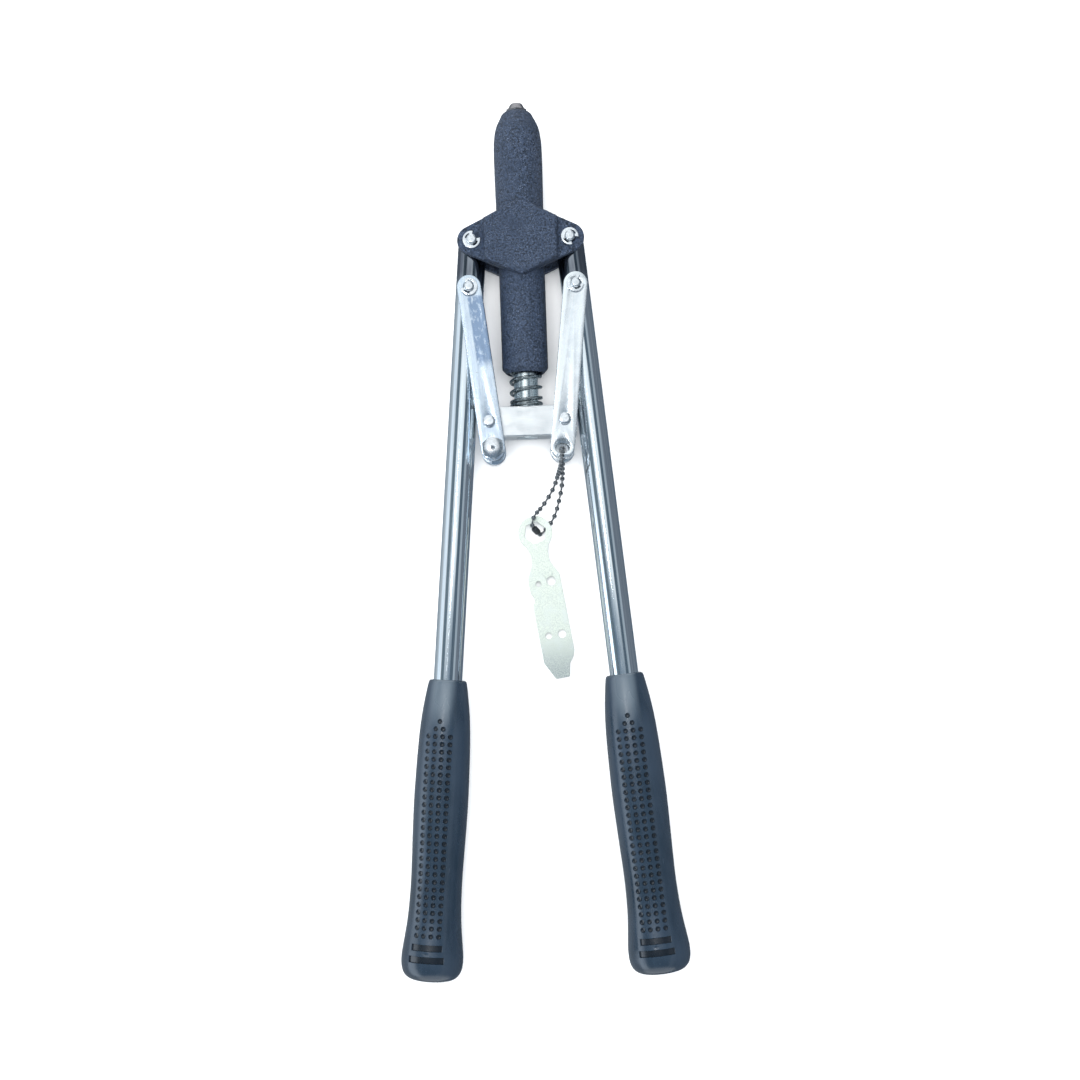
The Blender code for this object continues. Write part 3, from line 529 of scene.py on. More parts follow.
def tumbled():
    """Pale stamped steel with a speckled satin surface, darker towards the tip."""
    f = Finish("spanner_steel", 0.75, cad=True)
    speck = f.grain(0.55, detail=2.0)
    cloud = f.grain(7.0, seed=2.0)
    base = f.mixed(f.level(speck, 0.35, 0.65), (0.72, 0.78, 0.7), (0.92, 0.98, 0.87))
    base = f.mixed(f.level(cloud, 0.45, 0.7), base, (0.84, 0.9, 0.83))
    tip = f.level(f.along("Y"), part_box("nozzle_spanner")[0].y + 26 * MM,
                  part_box("nozzle_spanner")[0].y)
    dull = f.times(tip, f.level(speck, 0.4, 0.6, 0.45, 1.0))
    base = f.mixed(dull, base, (0.4, 0.45, 0.45))
    base = f.mixed(f.edges(0.2), base, (0.5, 0.52, 0.5))
    f.colour(base)
    f.rough(f.level(speck, 0.3, 0.7, 0.34, 0.5))
    f.relief(speck, 0.03)
    f.relief(f.grain(3.0, seed=6.0), 0.05)
    return f.material


# ---- chain ----
# The loop's middle line, in millimetres: x, distance from the ear pins' line, height.
STRAND_A = [
    (17.0, -104.2, 25.3), (16.7, -106.9, 26.9), (16.4, -109.8, 26.9), (16.0, -112.3, 24.0),
    (15.6, -113.7, 19.5), (15.0, -114.9, 14.0), (14.4, -116.1, 9.0), (13.7, -117.7, 4.6),
    (12.7, -120.1, 1.9), (11.4, -122.8, 1.25), (9.7, -125.6, 1.25), (7.4, -129.0, 1.3),
    (5.6, -131.4, 2.2), (3.9, -133.5, 4.6), (2.6, -135.2, 7.3), (1.4, -137.3, 8.0),
    (0.8, -139.7, 7.9), (1.0, -141.7, 7.0),
]
STRAND_B = [
    (3.9, -144.6, 2.4), (4.8, -144.7, 1.5), (6.4, -143.6, 1.25), (8.4, -141.4, 1.25),
    (10.6, -138.4, 1.25), (12.3, -135.2, 1.25), (13.6, -131.4, 1.25), (14.7, -127.4, 1.25),
    (15.7, -123.4, 1.3), (16.3, -120.0, 2.2), (16.6, -117.1, 4.9), (16.75, -114.9, 8.6),
    (16.85, -112.5, 13.0), (16.9, -110.1, 17.0), (16.95, -107.3, 20.2), (17.0, -104.6, 22.2),
]


def route(points):
    return [Vector((x * MM, y * MM + EAR_Y, z * MM)) for x, y, z in points]


def make_chain(material):
    """A ball chain's loop, from the hole in the right front link down to the spanner and back."""
    first, second = route(STRAND_A), route(STRAND_B)
    line = smooth_line(first + second, CHAIN_PITCH / 10)
    middle = (first[-1] + second[0]) / 2
    start = min(range(len(line)), key=lambda i: (line[i] - middle).length)
    bm = bmesh.new()
    for i in range(start % 10, len(line), 10):
        place = Matrix.Translation(line[i])
        bmesh.ops.create_icosphere(bm, subdivisions=3, radius=CHAIN_DIAMETER / 2, matrix=place)
    for i in range(start % 10, len(line) - 10, 10):
        sweep(bm, line[i:i + 11:2], 0.42 * MM, 8)
    item = new_object("ball_chain", bm)
    shade(item, 60.0)
    finished(item, "chain", "chain_steel", material, "chain_strand_a", "chain_strand_b")
    return item, line


def make_connector(material):
    """The barrel that joins the chain's ends: a thin rolled shell with drawn-in mouths."""
    start, end = route(STRAND_A)[-1], route(STRAND_B)[0]
    half = (end - start).length / 2 - 0.8 * MM
    outer = [(0.75, 0.0), (1.15, 0.08), (1.45, 0.35), (1.6, 0.8)]
    shell = [(r * MM, d * MM - half) for r, d in outer]
    shell += [(r * MM, half - d * MM) for r, d in outer[::-1]]
    wall = 0.22 * MM
    inner = [(max(r - wall, 0.6 * MM), y * 0.93) for r, y in shell]
    turn = (end - start).to_track_quat("Y", "Z").to_matrix().to_4x4()
    place = Matrix.Translation((start + end) / 2) @ turn
    item = new_object("chain_connector", turned(shell + inner[::-1], 32), place)
    shade(item)
    return finished(item, "chain", "chain_steel", material, "chain_clasp")


# ---- head ----
BOSS = [(0, 19.8), (18.5, 10.3), (18.1, -10.0), (0, -18.6), (-18.1, -10.0), (-18.5, 10.3)]


WRINKLE_SIZE = 1.1
WRINKLE_DEPTH = 0.05


def roughen(item):
    """Gives a fine mesh the coat's own relief."""
    mesh = item.data
    moved = []
    for v in mesh.vertices:
        height = noise.noise(v.co / (WRINKLE_SIZE * MM))
        height += 0.5 * noise.noise(v.co / (0.45 * WRINKLE_SIZE * MM) + Vector((5, 3, 1)))
        moved.append(v.co + v.normal * WRINKLE_DEPTH * MM * height)
    for v, place in zip(mesh.vertices, moved):
        v.co = place


def join_plates(head):
    """Adds the eared plates, the raised bosses and the web between them."""
    boss = [(x * MM, y * MM) for x, y in BOSS]
    ears = arc((EAR_X, 0), EAR_RADIUS, -90, 90, 32) + arc((-EAR_X, 0), EAR_RADIUS, 90, 270, 32)
    for side in (1, -1):
        face = hull("guide", boss + ears, side * PLATE_INNER, side * PLATE_OUTER, 0.7 * MM, AXIS)
        boolean(head, face, "UNION")
        rise = hull("guide", boss, side * NECK_RADIUS, side * MID_Z, 1.5 * MM, AXIS)
        boolean(head, rise, "UNION")
    web = hull("guide", [(0.75 * x, 0.75 * y) for x, y in boss], -8.5 * MM, 8.5 * MM, 0.1 * MM,
               AXIS)
    boolean(head, web, "UNION")


def bore_head(head):
    """Cuts the stepped bore along the tool, then the two ear holes."""
    past = 2.0 * MM
    bore = turned([
        (0, BARREL_END - past), (SPRING_BORE_RADIUS, BARREL_END - past),
        (SPRING_BORE_RADIUS, SPRING_BORE_END), (GUIDE_BORE_RADIUS, SPRING_BORE_END),
        (GUIDE_BORE_RADIUS, CASE_BORE_END), (CASE_BORE_RADIUS, CASE_BORE_END),
        (CASE_BORE_RADIUS, NECK_FRONT + past), (0, NECK_FRONT + past),
    ], 96)
    boolean(head, new_object("guide", bore, AXIS), "DIFFERENCE")
    for side in (-1, 1):
        cut_pin_hole(head, 20 * MM, AXIS @ Matrix.Translation((side * EAR_X, 0, 0)))


def make_head(material):
    barrel = turned([
        (0, BARREL_END), (BARREL_RADIUS - 2.4 * MM, BARREL_END),
        (BARREL_RADIUS, BARREL_END + 2.6 * MM), (BARREL_RADIUS, 0), (COLLAR_RADIUS, 0),
        (COLLAR_RADIUS, COLLAR_FRONT), (NECK_RADIUS, COLLAR_FRONT), (NECK_RADIUS, NECK_FRONT),
        (0, NECK_FRONT),
    ], 96)
    head = new_object("head_shell", barrel, AXIS)
    join_plates(head)
    bore_head(head)
    step = head.modifiers.new("cast", "REMESH")
    step.mode = "VOXEL"
    step.voxel_size = 0.42 * MM
    blur = head.modifiers.new("blur", "SMOOTH")
    blur.factor = 0.5
    blur.iterations = 4
    bake(head)
    roughen(head)
    head.data.shade_smooth()
    return finished(head, "head", "dark_coat", material, "head_casting")


def make_sleeve(material):
    """The nose sleeve; its rear edge meets the head's collar without a visible seam."""
    outer = [(12.05, 33.0), (12.1, 24.0), (11.95, 16.0), (11.65, 13.0), (11.2, 10.0),
             (10.4, 7.1), (9.45, 5.0), (8.4, 2.9), (7.6, 1.25), (6.4, 0.1)]
    line = smooth_line([(r, d, 0) for r, d in outer], 0.6)
    rear = SLEEVE_REAR - 0.45 * MM
    straight = SLEEVE_FRONT - 33.0 * MM - rear
    shell = [(COLLAR_RADIUS + 0.2 * MM * k / 24, rear + straight * k / 24) for k in range(24)]
    shell += [(p.x * MM, SLEEVE_FRONT - p.y * MM) for p in line]
    shell += [(6.0 * MM, SLEEVE_FRONT), (3.7 * MM, SLEEVE_FRONT)]
    seat, step, thread = SLEEVE_FRONT - 9.6 * MM, NECK_FRONT + 0.5 * MM, 10.3 * MM
    shell += [(3.7 * MM, seat), (CASE_BORE_RADIUS, seat), (CASE_BORE_RADIUS, step),
              (thread, step), (thread, rear)]
    item = new_object("sleeve_shell", turned(shell, 120), AXIS)
    roughen(item)
    shade(item, 50.0)
    return finished(item, "head", "dark_coat", material, "nose_sleeve")


# A nosepiece's dome, as radius and height over the seat in millimetres: in use, and stored.
DOME_IN_USE = [(5.9, 0.9), (4.75, 1.0), (4.45, 1.3), (4.0, 2.2), (3.5, 3.2), (3.1, 3.9),
               (2.8, 4.2)]
DOME_STORED = [(6.0, 2.6), (5.3, 3.05), (4.5, 3.4), (3.4, 3.68), (1.9, 3.9)]


def make_nosepiece(name, body, node, bore, dome, shank, place, material):
    """A screw-in nosepiece along local Y: a domed hexagon in front of a round shank."""
    height = dome[-1][1] * MM
    points = arc((0, 0), NOSEPIECE_FLATS / math.sqrt(3), 0, 300, 5)
    block = plate(name, [points], 0, height, 0.15 * MM)
    block.data.transform(Matrix.Rotation(math.radians(-90), 4, "X"))
    block.data.transform(Matrix.Rotation(math.radians(30), 4, "Y"))
    cone = [(0, -1 * MM), (7 * MM, -1 * MM)] + [(r * MM, h * MM) for r, h in dome] + [(0, height)]
    boolean(block, new_object("guide", turned(cone, 64)), "INTERSECT")
    body_of_shank = turned([(0, -shank), (3.0 * MM, -shank), (SHANK_RADIUS, 0.5 * MM - shank),
                            (SHANK_RADIUS, 0.5 * MM), (0, 0.5 * MM)], 40)
    boolean(block, new_object("guide", body_of_shank), "UNION")
    hole = turned([(0, -shank - MM), (bore, -shank - MM), (bore, height - 0.35 * MM),
                   (bore + 0.5 * MM, height + 0.15 * MM), (0, height + 0.15 * MM)], 32)
    boolean(block, new_object("guide", hole), "DIFFERENCE")
    block.matrix_world = place
    shade(block, 30.0)
    return finished(block, body, "nosepiece_steel", material, node)


# ---- pins ----
def make_pin(name, body, reach, place, material, node):
    """A pin with a flat head behind and a clip groove in front, its end domed and chamfered."""
    groove = reach + 1.4 * MM
    tip = groove + 1.3 * MM
    profile = [
        (0, -reach - 1.7 * MM), (3.7 * MM, -reach - 1.7 * MM), (4.2 * MM, -reach - 1.45 * MM),
        (4.3 * MM, -reach - 1.1 * MM), (4.3 * MM, -reach - 0.45 * MM),
        (4.15 * MM, -reach - 0.3 * MM), (PIN_RADIUS, -reach - 0.3 * MM), (PIN_RADIUS, reach),
        (GROOVE_RADIUS, reach), (GROOVE_RADIUS, groove), (2.4 * MM, groove),
        (PIN_RADIUS, groove + 0.1 * MM), (PIN_RADIUS, tip - 0.5 * MM),
        (2.38 * MM, tip - 0.25 * MM), (2.05 * MM, tip - 0.06 * MM), (1.7 * MM, tip), (0, tip),
    ]
    item = new_object(name, turned(profile, 48, "Z"), place)
    shade(item)
    return finished(item, body, "bright_zinc", material, node)


def make_clip(name, body, reach, opening_deg, place, material, node):
    """An E-shaped retaining clip: an open ring with two inner notches."""
    outer, notch, inner = 4.35 * MM, 3.3 * MM, 2.2 * MM
    outline = arc((0, 0), outer, 34, 326, 48)
    outline += arc((0, 0), inner, 326, 302, 4) + arc((0, 0), notch, 297, 243, 10)
    outline += arc((0, 0), inner, 238, 122, 20) + arc((0, 0), notch, 117, 63, 10)
    outline += arc((0, 0), inner, 58, 34, 4)
    turn = Matrix.Rotation(math.radians(opening_deg), 4, "Z")
    low = reach + GAP
    item = plate(name, [outline], low, low + CLIP_THICKNESS, 0.12 * MM, place @ turn)
    return finished(item, body, "bright_zinc", material, node)


def make_rivet(name, body, place, material, node):
    """The peened pin that carries a crossbar end between its two link plates."""
    base = LINK_OUTER + GAP
    half = [(PIN_RADIUS, base), (2.8, 0.0), (2.9, 0.12), (2.9, 0.8), (2.78, 0.98), (2.6, 1.06),
            (1.6, 1.11), (0, 1.13)]
    half = half[:1] + [(r * MM, base + h * MM) for r, h in half[1:]]
    profile = [(r, -h) for r, h in half[::-1]] + half
    item = new_object(name, turned(profile, 48, "Z"), place)
    shade(item)
    return finished(item, body, "bright_zinc", material, node)


# ---- drawbar ----
def make_rod(material):
    shoulder = CROSSBAR_FRONT + GAP
    tail = CROSSBAR_REAR + 0.7 * MM
    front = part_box("pull_rod")[1].y - EAR_Y
    profile = [
        (ROD_BORE_RADIUS, tail + 0.3 * MM), (2.8 * MM, tail), (4.6 * MM, tail),
        (ROD_TAIL_RADIUS, tail + 0.4 * MM), (ROD_TAIL_RADIUS, shoulder), (ROD_RADIUS, shoulder),
        (ROD_RADIUS, front - 0.5 * MM), (5.5 * MM, front), (ROD_BORE_RADIUS, front),
    ]
    item = new_object("rod_turned", turned(profile, 72), AXIS)
    shade(item)
    return finished(item, "drawbar", "steel", material, "pull_rod")


def coil(name, radius, wire, start_deg, heights, sides, steps):
    """A wound wire about Y. heights gives (turns, y) points; y rises as the angle falls."""
    total = heights[-1][0]
    count = round(total * steps)
    line = []
    for i in range(count + 1):
        turns = total * i / count
        for (t0, y0), (t1, y1) in zip(heights, heights[1:]):
            if t0 <= turns <= t1:
                y = y0 + (y1 - y0) * (turns - t0) / (t1 - t0)
        angle = math.radians(start_deg - 360 * turns)
        line.append(Vector((radius * math.cos(angle), y, radius * math.sin(angle))))
    bm = bmesh.new()
    sweep(bm, line, wire, sides)
    item = new_object(name, bm, AXIS)
    shade(item, 50.0)
    return item


def squash(item):
    """Gives a spring its own copy of its mesh."""
    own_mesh(item)


def make_springs(material):
    wire = RETURN_WIRE_RADIUS
    low = CROSSBAR_FRONT + GAP + wire
    high = SPRING_BORE_END - GAP - wire
    rise = 2.1 * MM
    item = coil("return_coil", 7.4 * MM, wire, 180,
                [(0, low), (1.2, low + rise), (6.4, high - rise), (7.6, high)], 16, 36)
    finished(item, "head", "spring_steel", material, "return_spring")
    squash(item)
    wire = JAW_WIRE_RADIUS
    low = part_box("pull_rod")[1].y - EAR_Y + GAP + wire
    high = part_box("jaw_spring")[1].y - EAR_Y - wire
    rise = 1.2 * MM
    item = coil("jaw_coil", 4.9 * MM, wire, 0,
                [(0, low), (1, low + rise), (5, high - rise), (6, high)], 10, 24)
    finished(item, "drawbar", "spring_steel", material, "jaw_spring")
    squash(item)


# ---- arms ----
def pivot_place(first, second):
    """A frame at the first node's axis whose -Y points at the second node's axis."""
    a, b = centre_of(first), centre_of(second)
    turn = math.atan2(b.x - a.x, a.y - b.y)
    place = Matrix.Translation((a.x, a.y, MID_Z)) @ Matrix.Rotation(turn, 4, "Z")
    return place, math.hypot(b.x - a.x, b.y - a.y)


TUBE_RADIUS = 7.0 * MM
TUBE_BORE_RADIUS = 5.5 * MM
TUBE_END = -350.0 * MM
GRIP_FRONT = -217.0 * MM


def make_tube(name, place, link_pin, material):
    nose = arc((0, 0), TUBE_RADIUS, 0, 45, 8)
    profile = [(TUBE_RADIUS, TUBE_END)] + nose
    profile += [(3.6 * MM, 4.2 * MM), (4.7 * MM, 2.6 * MM), (TUBE_BORE_RADIUS, 0.0),
                (TUBE_BORE_RADIUS, TUBE_END)]
    tube = new_object(f"{name}_tube", turned(profile, 96), place)
    for height in (0.0, -link_pin):
        cut_pin_hole(tube, 9 * MM, place @ Matrix.Translation((0, height, 0)))
    shade(tube, 30.0)
    return finished(tube, f"{name}_arm", "chrome_tube", material, f"{name}_arm_tube")


# Radius and distance from the grip's front edge, in millimetres.
GRIP_PROFILE = [
    (8.2, 0.0), (9.1, 0.6), (9.7, 3.0), (10.5, 8.0), (11.4, 14.5), (12.1, 21.5), (12.6, 30.0),
    (13.0, 42.0), (13.25, 58.0), (13.05, 72.0), (12.5, 95.0), (12.6, 106.0), (13.05, 115.5),
    (13.7, 122.0), (14.5, 128.5), (15.0, 133.5), (14.7, 138.5), (12.9, 142.4), (8.8, 144.6),
    (0.0, 145.2),
]
CELL_X = 3.7
CELL_S = 3.655
FIRST_DOT = 20.2
DOT_ROWS = 29
BARS = ((126.5, 129.7, 2 * CELL_X), (132.1, 135.4, 8.5))
BAR_WALL = 0.3
BAR_DEPTH = 0.8
SMALL_DOT = 130.9
FLANK_POINTS = 9
# Radius and depth of the rings down a dimple.
DOT_RINGS = ((1.28, 0.0), (1.2, 0.12), (1.02, 0.55), (0.6, 0.78))


def grip_radii():
    line = smooth_line([(s, r, 0) for r, s in GRIP_PROFILE], 0.25)
    line[0] = Vector((0.0, 8.2, 0))
    return line


def radius_at(line, s):
    for a, b in zip(line, line[1:]):
        if a.x <= s <= b.x and b.x > a.x:
            return a.y + (b.y - a.y) * (s - a.x) / (b.x - a.x)
    return 0.0


def dots():
    """Middle of each dimple: an arrowhead of one and two, then rows of four."""
    found = [(0.0, FIRST_DOT)]
    for row in range(1, DOT_ROWS):
        s = FIRST_DOT + CELL_S * row
        columns = (-0.5, 0.5) if row == 1 else (-1.5, -0.5, 0.5, 1.5)
        found += [(CELL_X * c, s) for c in columns]
    return found


def grip_rows():
    rows = [0.12, 0.6, 1.6, 3.0, 5.0, 7.0, 9.0, 11.0, 13.0, 15.0, 16.7]
    start = FIRST_DOT - CELL_S / 2
    rows += [start + CELL_S / 4 * k for k in range(4 * DOT_ROWS + 1)]
    for low, high, _ in BARS:
        inner = [low + BAR_WALL + (high - low - 2 * BAR_WALL) * k / 3 for k in range(4)]
        rows += [low, low + 0.08] + inner + [high - 0.08, high]
    rows += [125.4, SMALL_DOT - 0.4, SMALL_DOT, SMALL_DOT + 0.4, 136.2, 137.2, 138.3, 139.4,
             140.5, 141.3, 142.0, 142.6, 143.2, 143.8, 144.3, 144.7, 145.0]
    return sorted(rows)


def grip_columns():
    """Distances across one face: the dimple columns, and the lips of the two bars."""
    half = [CELL_X / 4 * k for k in range(0, 9)]
    for _, _, inner in BARS:
        half += [inner + BAR_WALL - 0.08, inner + BAR_WALL]
    half.append(BARS[1][2])
    half = sorted(set(half))
    return [-x for x in half[:0:-1]] + half


def sunk(x, s):
    """How far the bars and the small dot sink a point of the face."""
    for low, high, inner in BARS:
        if abs(x) < inner + 0.01 and low + BAR_WALL - 0.01 < s < high - BAR_WALL + 0.01:
            return BAR_DEPTH
        if abs(x) < inner + BAR_WALL - 0.07 and low + 0.07 < s < high - 0.07:
            return 0.1
    return 0.4 if abs(x) < 0.01 and abs(s - SMALL_DOT) < 0.01 else 0.0


def nearest(values, target):
    return min(range(len(values)), key=lambda k: abs(values[k] - target))


class GripSkin:
    """A grid of rows along the grip and points round it: front, flank, back and flank."""

    def __init__(self):
        self.bm = bmesh.new()
        self.line = grip_radii()
        self.rows = grip_rows()
        self.columns = grip_columns()
        self.half = len(self.columns) + FLANK_POINTS
        self.cells = {}
        for x, s in dots():
            corner = (nearest(self.columns, x - CELL_X / 2), nearest(self.rows, s - CELL_S / 2))
            self.cells[corner] = (x, s)
        self.grid = {}

    def near_dots(self, steps):
        return {(i + a, j + b) for i, j in self.cells for a in steps for b in steps}

    def width_radius(self, s):
        """The radius that turns a distance across a face into an angle."""
        return 15.0 if s > 133.5 else max(radius_at(self.line, s), 11.2)

    def spot(self, angle, s, depth):
        r = (radius_at(self.line, s) - depth) * MM
        return self.bm.verts.new((r * math.sin(angle), GRIP_FRONT - s * MM, r * math.cos(angle)))

    def point(self, x, s, depth, face):
        """x across the face, s along the grip; face is 0 in front and 1 behind."""
        return self.spot(math.asin(x / self.width_radius(s)) + math.pi * face, s, depth)

    def lay_points(self, face):
        inside = self.near_dots((1, 2, 3))
        first = face * self.half
        for j, s in enumerate(self.rows):
            for i, x in enumerate(self.columns):
                if (i, j) not in inside:
                    self.grid[(first + i, j)] = self.point(x, s, sunk(x, s), face)
            edge = math.asin(self.columns[-1] / self.width_radius(s))
            for k in range(FLANK_POINTS):
                share = (k + 1) / (FLANK_POINTS + 1)
                angle = edge + (math.pi - 2 * edge) * share + math.pi * face
                self.grid[(first + len(self.columns) + k, j)] = self.spot(angle, s, 0.0)

    def rim(self, i, j):
        """The grid's points round one dimple, from its right side."""
        places = [(i + 4, j + 2 + k) for k in range(2)]
        places += [(i + 4 - k, j + 4) for k in range(4)]
        places += [(i, j + 4 - k) for k in range(4)]
        places += [(i + k, j) for k in range(4)]
        places += [(i + 4, j + k) for k in range(2)]
        return [self.grid[place] for place in places]

    def dimple(self, rim, x, s, face):
        for radius, depth in DOT_RINGS:
            ring = []
            for k in range(len(rim)):
                angle = 2 * math.pi * k / len(rim)
                ring.append(self.point(x + radius * math.cos(angle), s + radius * math.sin(angle),
                                       depth, face))
            join(self.bm, rim, ring)
            rim = ring
        self.close(rim, self.point(x, s, DOT_RINGS[-1][1] + 0.05, face))

    def close(self, ring, middle):
        for k in range(len(ring)):
            self.bm.faces.new((ring[k], ring[(k + 1) % len(ring)], middle))

    def cover(self):
        covered = self.near_dots(range(4))
        total = 2 * self.half
        for j in range(len(self.rows) - 1):
            for i in range(total):
                if (i % self.half, j) not in covered:
                    m = (i + 1) % total
                    self.bm.faces.new((self.grid[i, j], self.grid[m, j],
                                       self.grid[m, j + 1], self.grid[i, j + 1]))

    def ring(self, j):
        return [self.grid[i, j] for i in range(2 * self.half)]

    def bore(self):
        """The lip and the bore that the tube sits in."""
        ring = self.ring(0)
        angles = [math.atan2(v.co.x, v.co.z) for v in ring]
        for r, y in ((7.6 * MM, GRIP_FRONT), (7.3 * MM, GRIP_FRONT - 0.2 * MM),
                     (7.3 * MM, TUBE_END - 0.8 * MM)):
            following = [self.bm.verts.new((r * math.sin(a), y, r * math.cos(a))) for a in angles]
            join(self.bm, ring, following)
            ring = following
        self.bm.faces.new(ring)


def make_grip(name, place, turn_deg, material):
    """A dipped grip: rows of dimples and two sunk bars on its front and back faces."""
    skin = GripSkin()
    for face in (0, 1):
        skin.lay_points(face)
    for face in (0, 1):
        for (i, j), (x, s) in skin.cells.items():
            skin.dimple(skin.rim(i + face * skin.half, j), x, s, face)
    skin.cover()
    end = skin.bm.verts.new((0, GRIP_FRONT - GRIP_PROFILE[-1][1] * MM, 0))
    skin.close(skin.ring(len(skin.rows) - 1), end)
    skin.bore()
    turn = Matrix.Rotation(math.radians(turn_deg), 4, "Y")
    item = new_object(f"{name}_grip_moulded", skin.bm, place @ turn)
    shade(item, 38.0)
    # Each point's depth below the profile, which the vinyl turns into painted shade.
    depths = item.data.attributes.new("sunk", "FLOAT", "POINT")
    for depth, v in zip(depths.data, item.data.vertices):
        s = (GRIP_FRONT - v.co.y) / MM
        fall = radius_at(skin.line, s) - math.hypot(v.co.x, v.co.z) / MM
        depth.value = fall if 17.0 < s < 137.0 else 0.0
    return finished(item, f"{name}_arm", "grip_vinyl", material, f"{name}_grip")


# ---- links ----
def make_links(side, name, zinc, bright):
    place, length = pivot_place(f"{name}_link_pin", f"{name}_crossbar_pin")
    far = length + STORE_OFFSET
    body = f"{name}_link"
    rim = arc((0, 0), LINK_HALF_WIDTH, 0, 180, 40)
    rim += arc((0, -far), LINK_HALF_WIDTH, 180, 360, 40)
    holes = [circle((0, 0), PIN_HOLE_RADIUS), circle((0, -length), PIN_HOLE_RADIUS),
             circle((0, -far), STORE_HOLE_RADIUS)]
    for label, sign in (("front", 1), ("back", -1)):
        low, high = sorted((sign * LINK_INNER, sign * LINK_OUTER))
        item = plate(f"{name}_{label}_bar", [rim] + holes, low, high, 0.3 * MM, place)
        finished(item, body, "zinc_plate", zinc, f"{name}_link_{label}")
    make_pin(f"{name}_link_axle", body, LINK_OUTER, place, bright, f"{name}_link_pin")
    opening = 90 - side * 60
    make_clip(f"{name}_link_e_clip", body, LINK_OUTER, opening, place, bright,
              f"{name}_link_clip")
    foot = place @ Matrix.Translation((0, -length, 0))
    make_rivet(f"{name}_rivet", body, foot, bright, f"{name}_crossbar_pin")
    return place @ Matrix.Translation((0, -far, 0))


# ---- stage ----
def make_floor():
    bm = bmesh.new()
    bmesh.ops.create_grid(bm, x_segments=1, y_segments=1, size=6.0)
    floor = new_object("floor", bm)
    f = Finish("floor_paper", 0.0, specular=0.2)
    f.colour(f.mixed(f.grain(60.0), (0.86, 0.86, 0.86), (0.88, 0.88, 0.88)))
    preset(f.shader, {"Roughness": 0.9})
    floor.data.materials.append(f.material)
    floor.visible_glossy = False


# What reflections see round the tool, as degrees from the zenith towards +X, then colour: soft
# boxes with dark gaps between them, over a grey ground.
SURROUND = [
    (-180, (0.3, 0.34, 0.37)), (-102, (0.45, 0.5, 0.55)), (-92, (0.8, 0.9, 1.0)),
    (-64, (0.85, 0.93, 1.0)), (-58, (0.16, 0.21, 0.25)), (-36, (0.14, 0.19, 0.23)),
    (-31, (0.92, 1.0, 1.06)), (12, (0.98, 1.04, 1.08)), (18, (0.1, 0.14, 0.18)),
    (37, (0.1, 0.14, 0.18)), (42, (0.4, 0.46, 0.52)), (52, (0.42, 0.48, 0.54)),
    (58, (0.17, 0.2, 0.24)), (180, (0.15, 0.18, 0.22)),
]
# Over the handles the middle soft box ends, and the left one is brighter.
NEAR_MIDDLE = (0.16, 0.22, 0.29)
NEAR_LEFT = (1.8, 2.05, 2.3)


def make_surround():
    """A tunnel along Y that only reflections see."""
    radius = 1.6
    bm = bmesh.new()
    rings = []
    for deg in range(-180, 181, 2):
        angle = math.radians(deg)
        across, up = radius * math.sin(angle), radius * math.cos(angle)
        rings.append([bm.verts.new((across, y, up)) for y in (-2.5, 2.5)])
    for (a, b), (c, d) in zip(rings, rings[1:]):
        bm.faces.new((a, b, d, c))
    item = new_object("surround", bm)
    for kind in ("camera", "diffuse", "transmission", "volume_scatter", "shadow"):
        setattr(item, f"visible_{kind}", False)
    material = bpy.data.materials.new("surround_glow")
    material.use_nodes = True
    tree = material.node_tree
    tree.nodes.clear()

    def wire(kind, *sources, **settings):
        node = tree.nodes.new(kind)
        for key, value in settings.items():
            setattr(node, key, value)
        for socket, source in zip(node.inputs, sources):
            tree.links.new(source, socket)
        return node

    place = wire("ShaderNodeSeparateXYZ", tree.nodes.new("ShaderNodeTexCoord").outputs["Object"])
    angle = wire("ShaderNodeMath", place.outputs["X"], place.outputs["Z"], operation="ARCTAN2")
    share = wire("ShaderNodeMapRange", angle.outputs["Value"])
    preset(share, {"From Min": -math.pi, "From Max": math.pi})
    ramps = []
    for near in (False, True):
        ramp = wire("ShaderNodeValToRGB", share.outputs["Result"])
        for k, (deg, colour) in enumerate(SURROUND):
            where = (deg + 180) / 360
            points = ramp.color_ramp.elements
            point = points[k] if k < 2 else points.new(where)
            point.position = where
            if near and -32 < deg < 15:
                colour = NEAR_MIDDLE
            if near and -95 < deg < -62:
                colour = NEAR_LEFT
            point.color = (*colour, 1.0)
        ramps.append(ramp)
    front = wire("ShaderNodeMapRange", place.outputs["Y"], interpolation_type="SMOOTHSTEP")
    preset(front, {"From Min": -0.07, "From Max": 0.12})
    both = wire("ShaderNodeMix", data_type="RGBA")
    tree.links.new(front.outputs["Result"], both.inputs["Factor"])
    tree.links.new(ramps[1].outputs["Color"], both.inputs[6])
    tree.links.new(ramps[0].outputs["Color"], both.inputs[7])
    glow = wire("ShaderNodeEmission", both.outputs[2])
    wire("ShaderNodeOutputMaterial", glow.outputs["Emission"])
    material.cycles.emission_sampling = "NONE"
    item.data.materials.append(material)


def make_light(name, place, target, size, power, reflected=False):
    data = bpy.data.lights.new(name, "AREA")
    data.shape = "RECTANGLE"
    data.size, data.size_y = size
    data.energy = power
    item = new_object(name, data)
    item.location = place
    item.rotation_euler = (Vector(target) - Vector(place)).to_track_quat("-Z", "Y").to_euler()
    item.visible_camera = False
    item.visible_glossy = reflected


def make_world(colour, strength):
    world = bpy.data.worlds.new("studio")
    world.use_nodes = True
    back = world.node_tree.nodes["Background"]
    preset(back, {"Color": (*colour, 1.0), "Strength": strength})
    bpy.context.scene.world = world


# ---- the whole ----
make_camera()

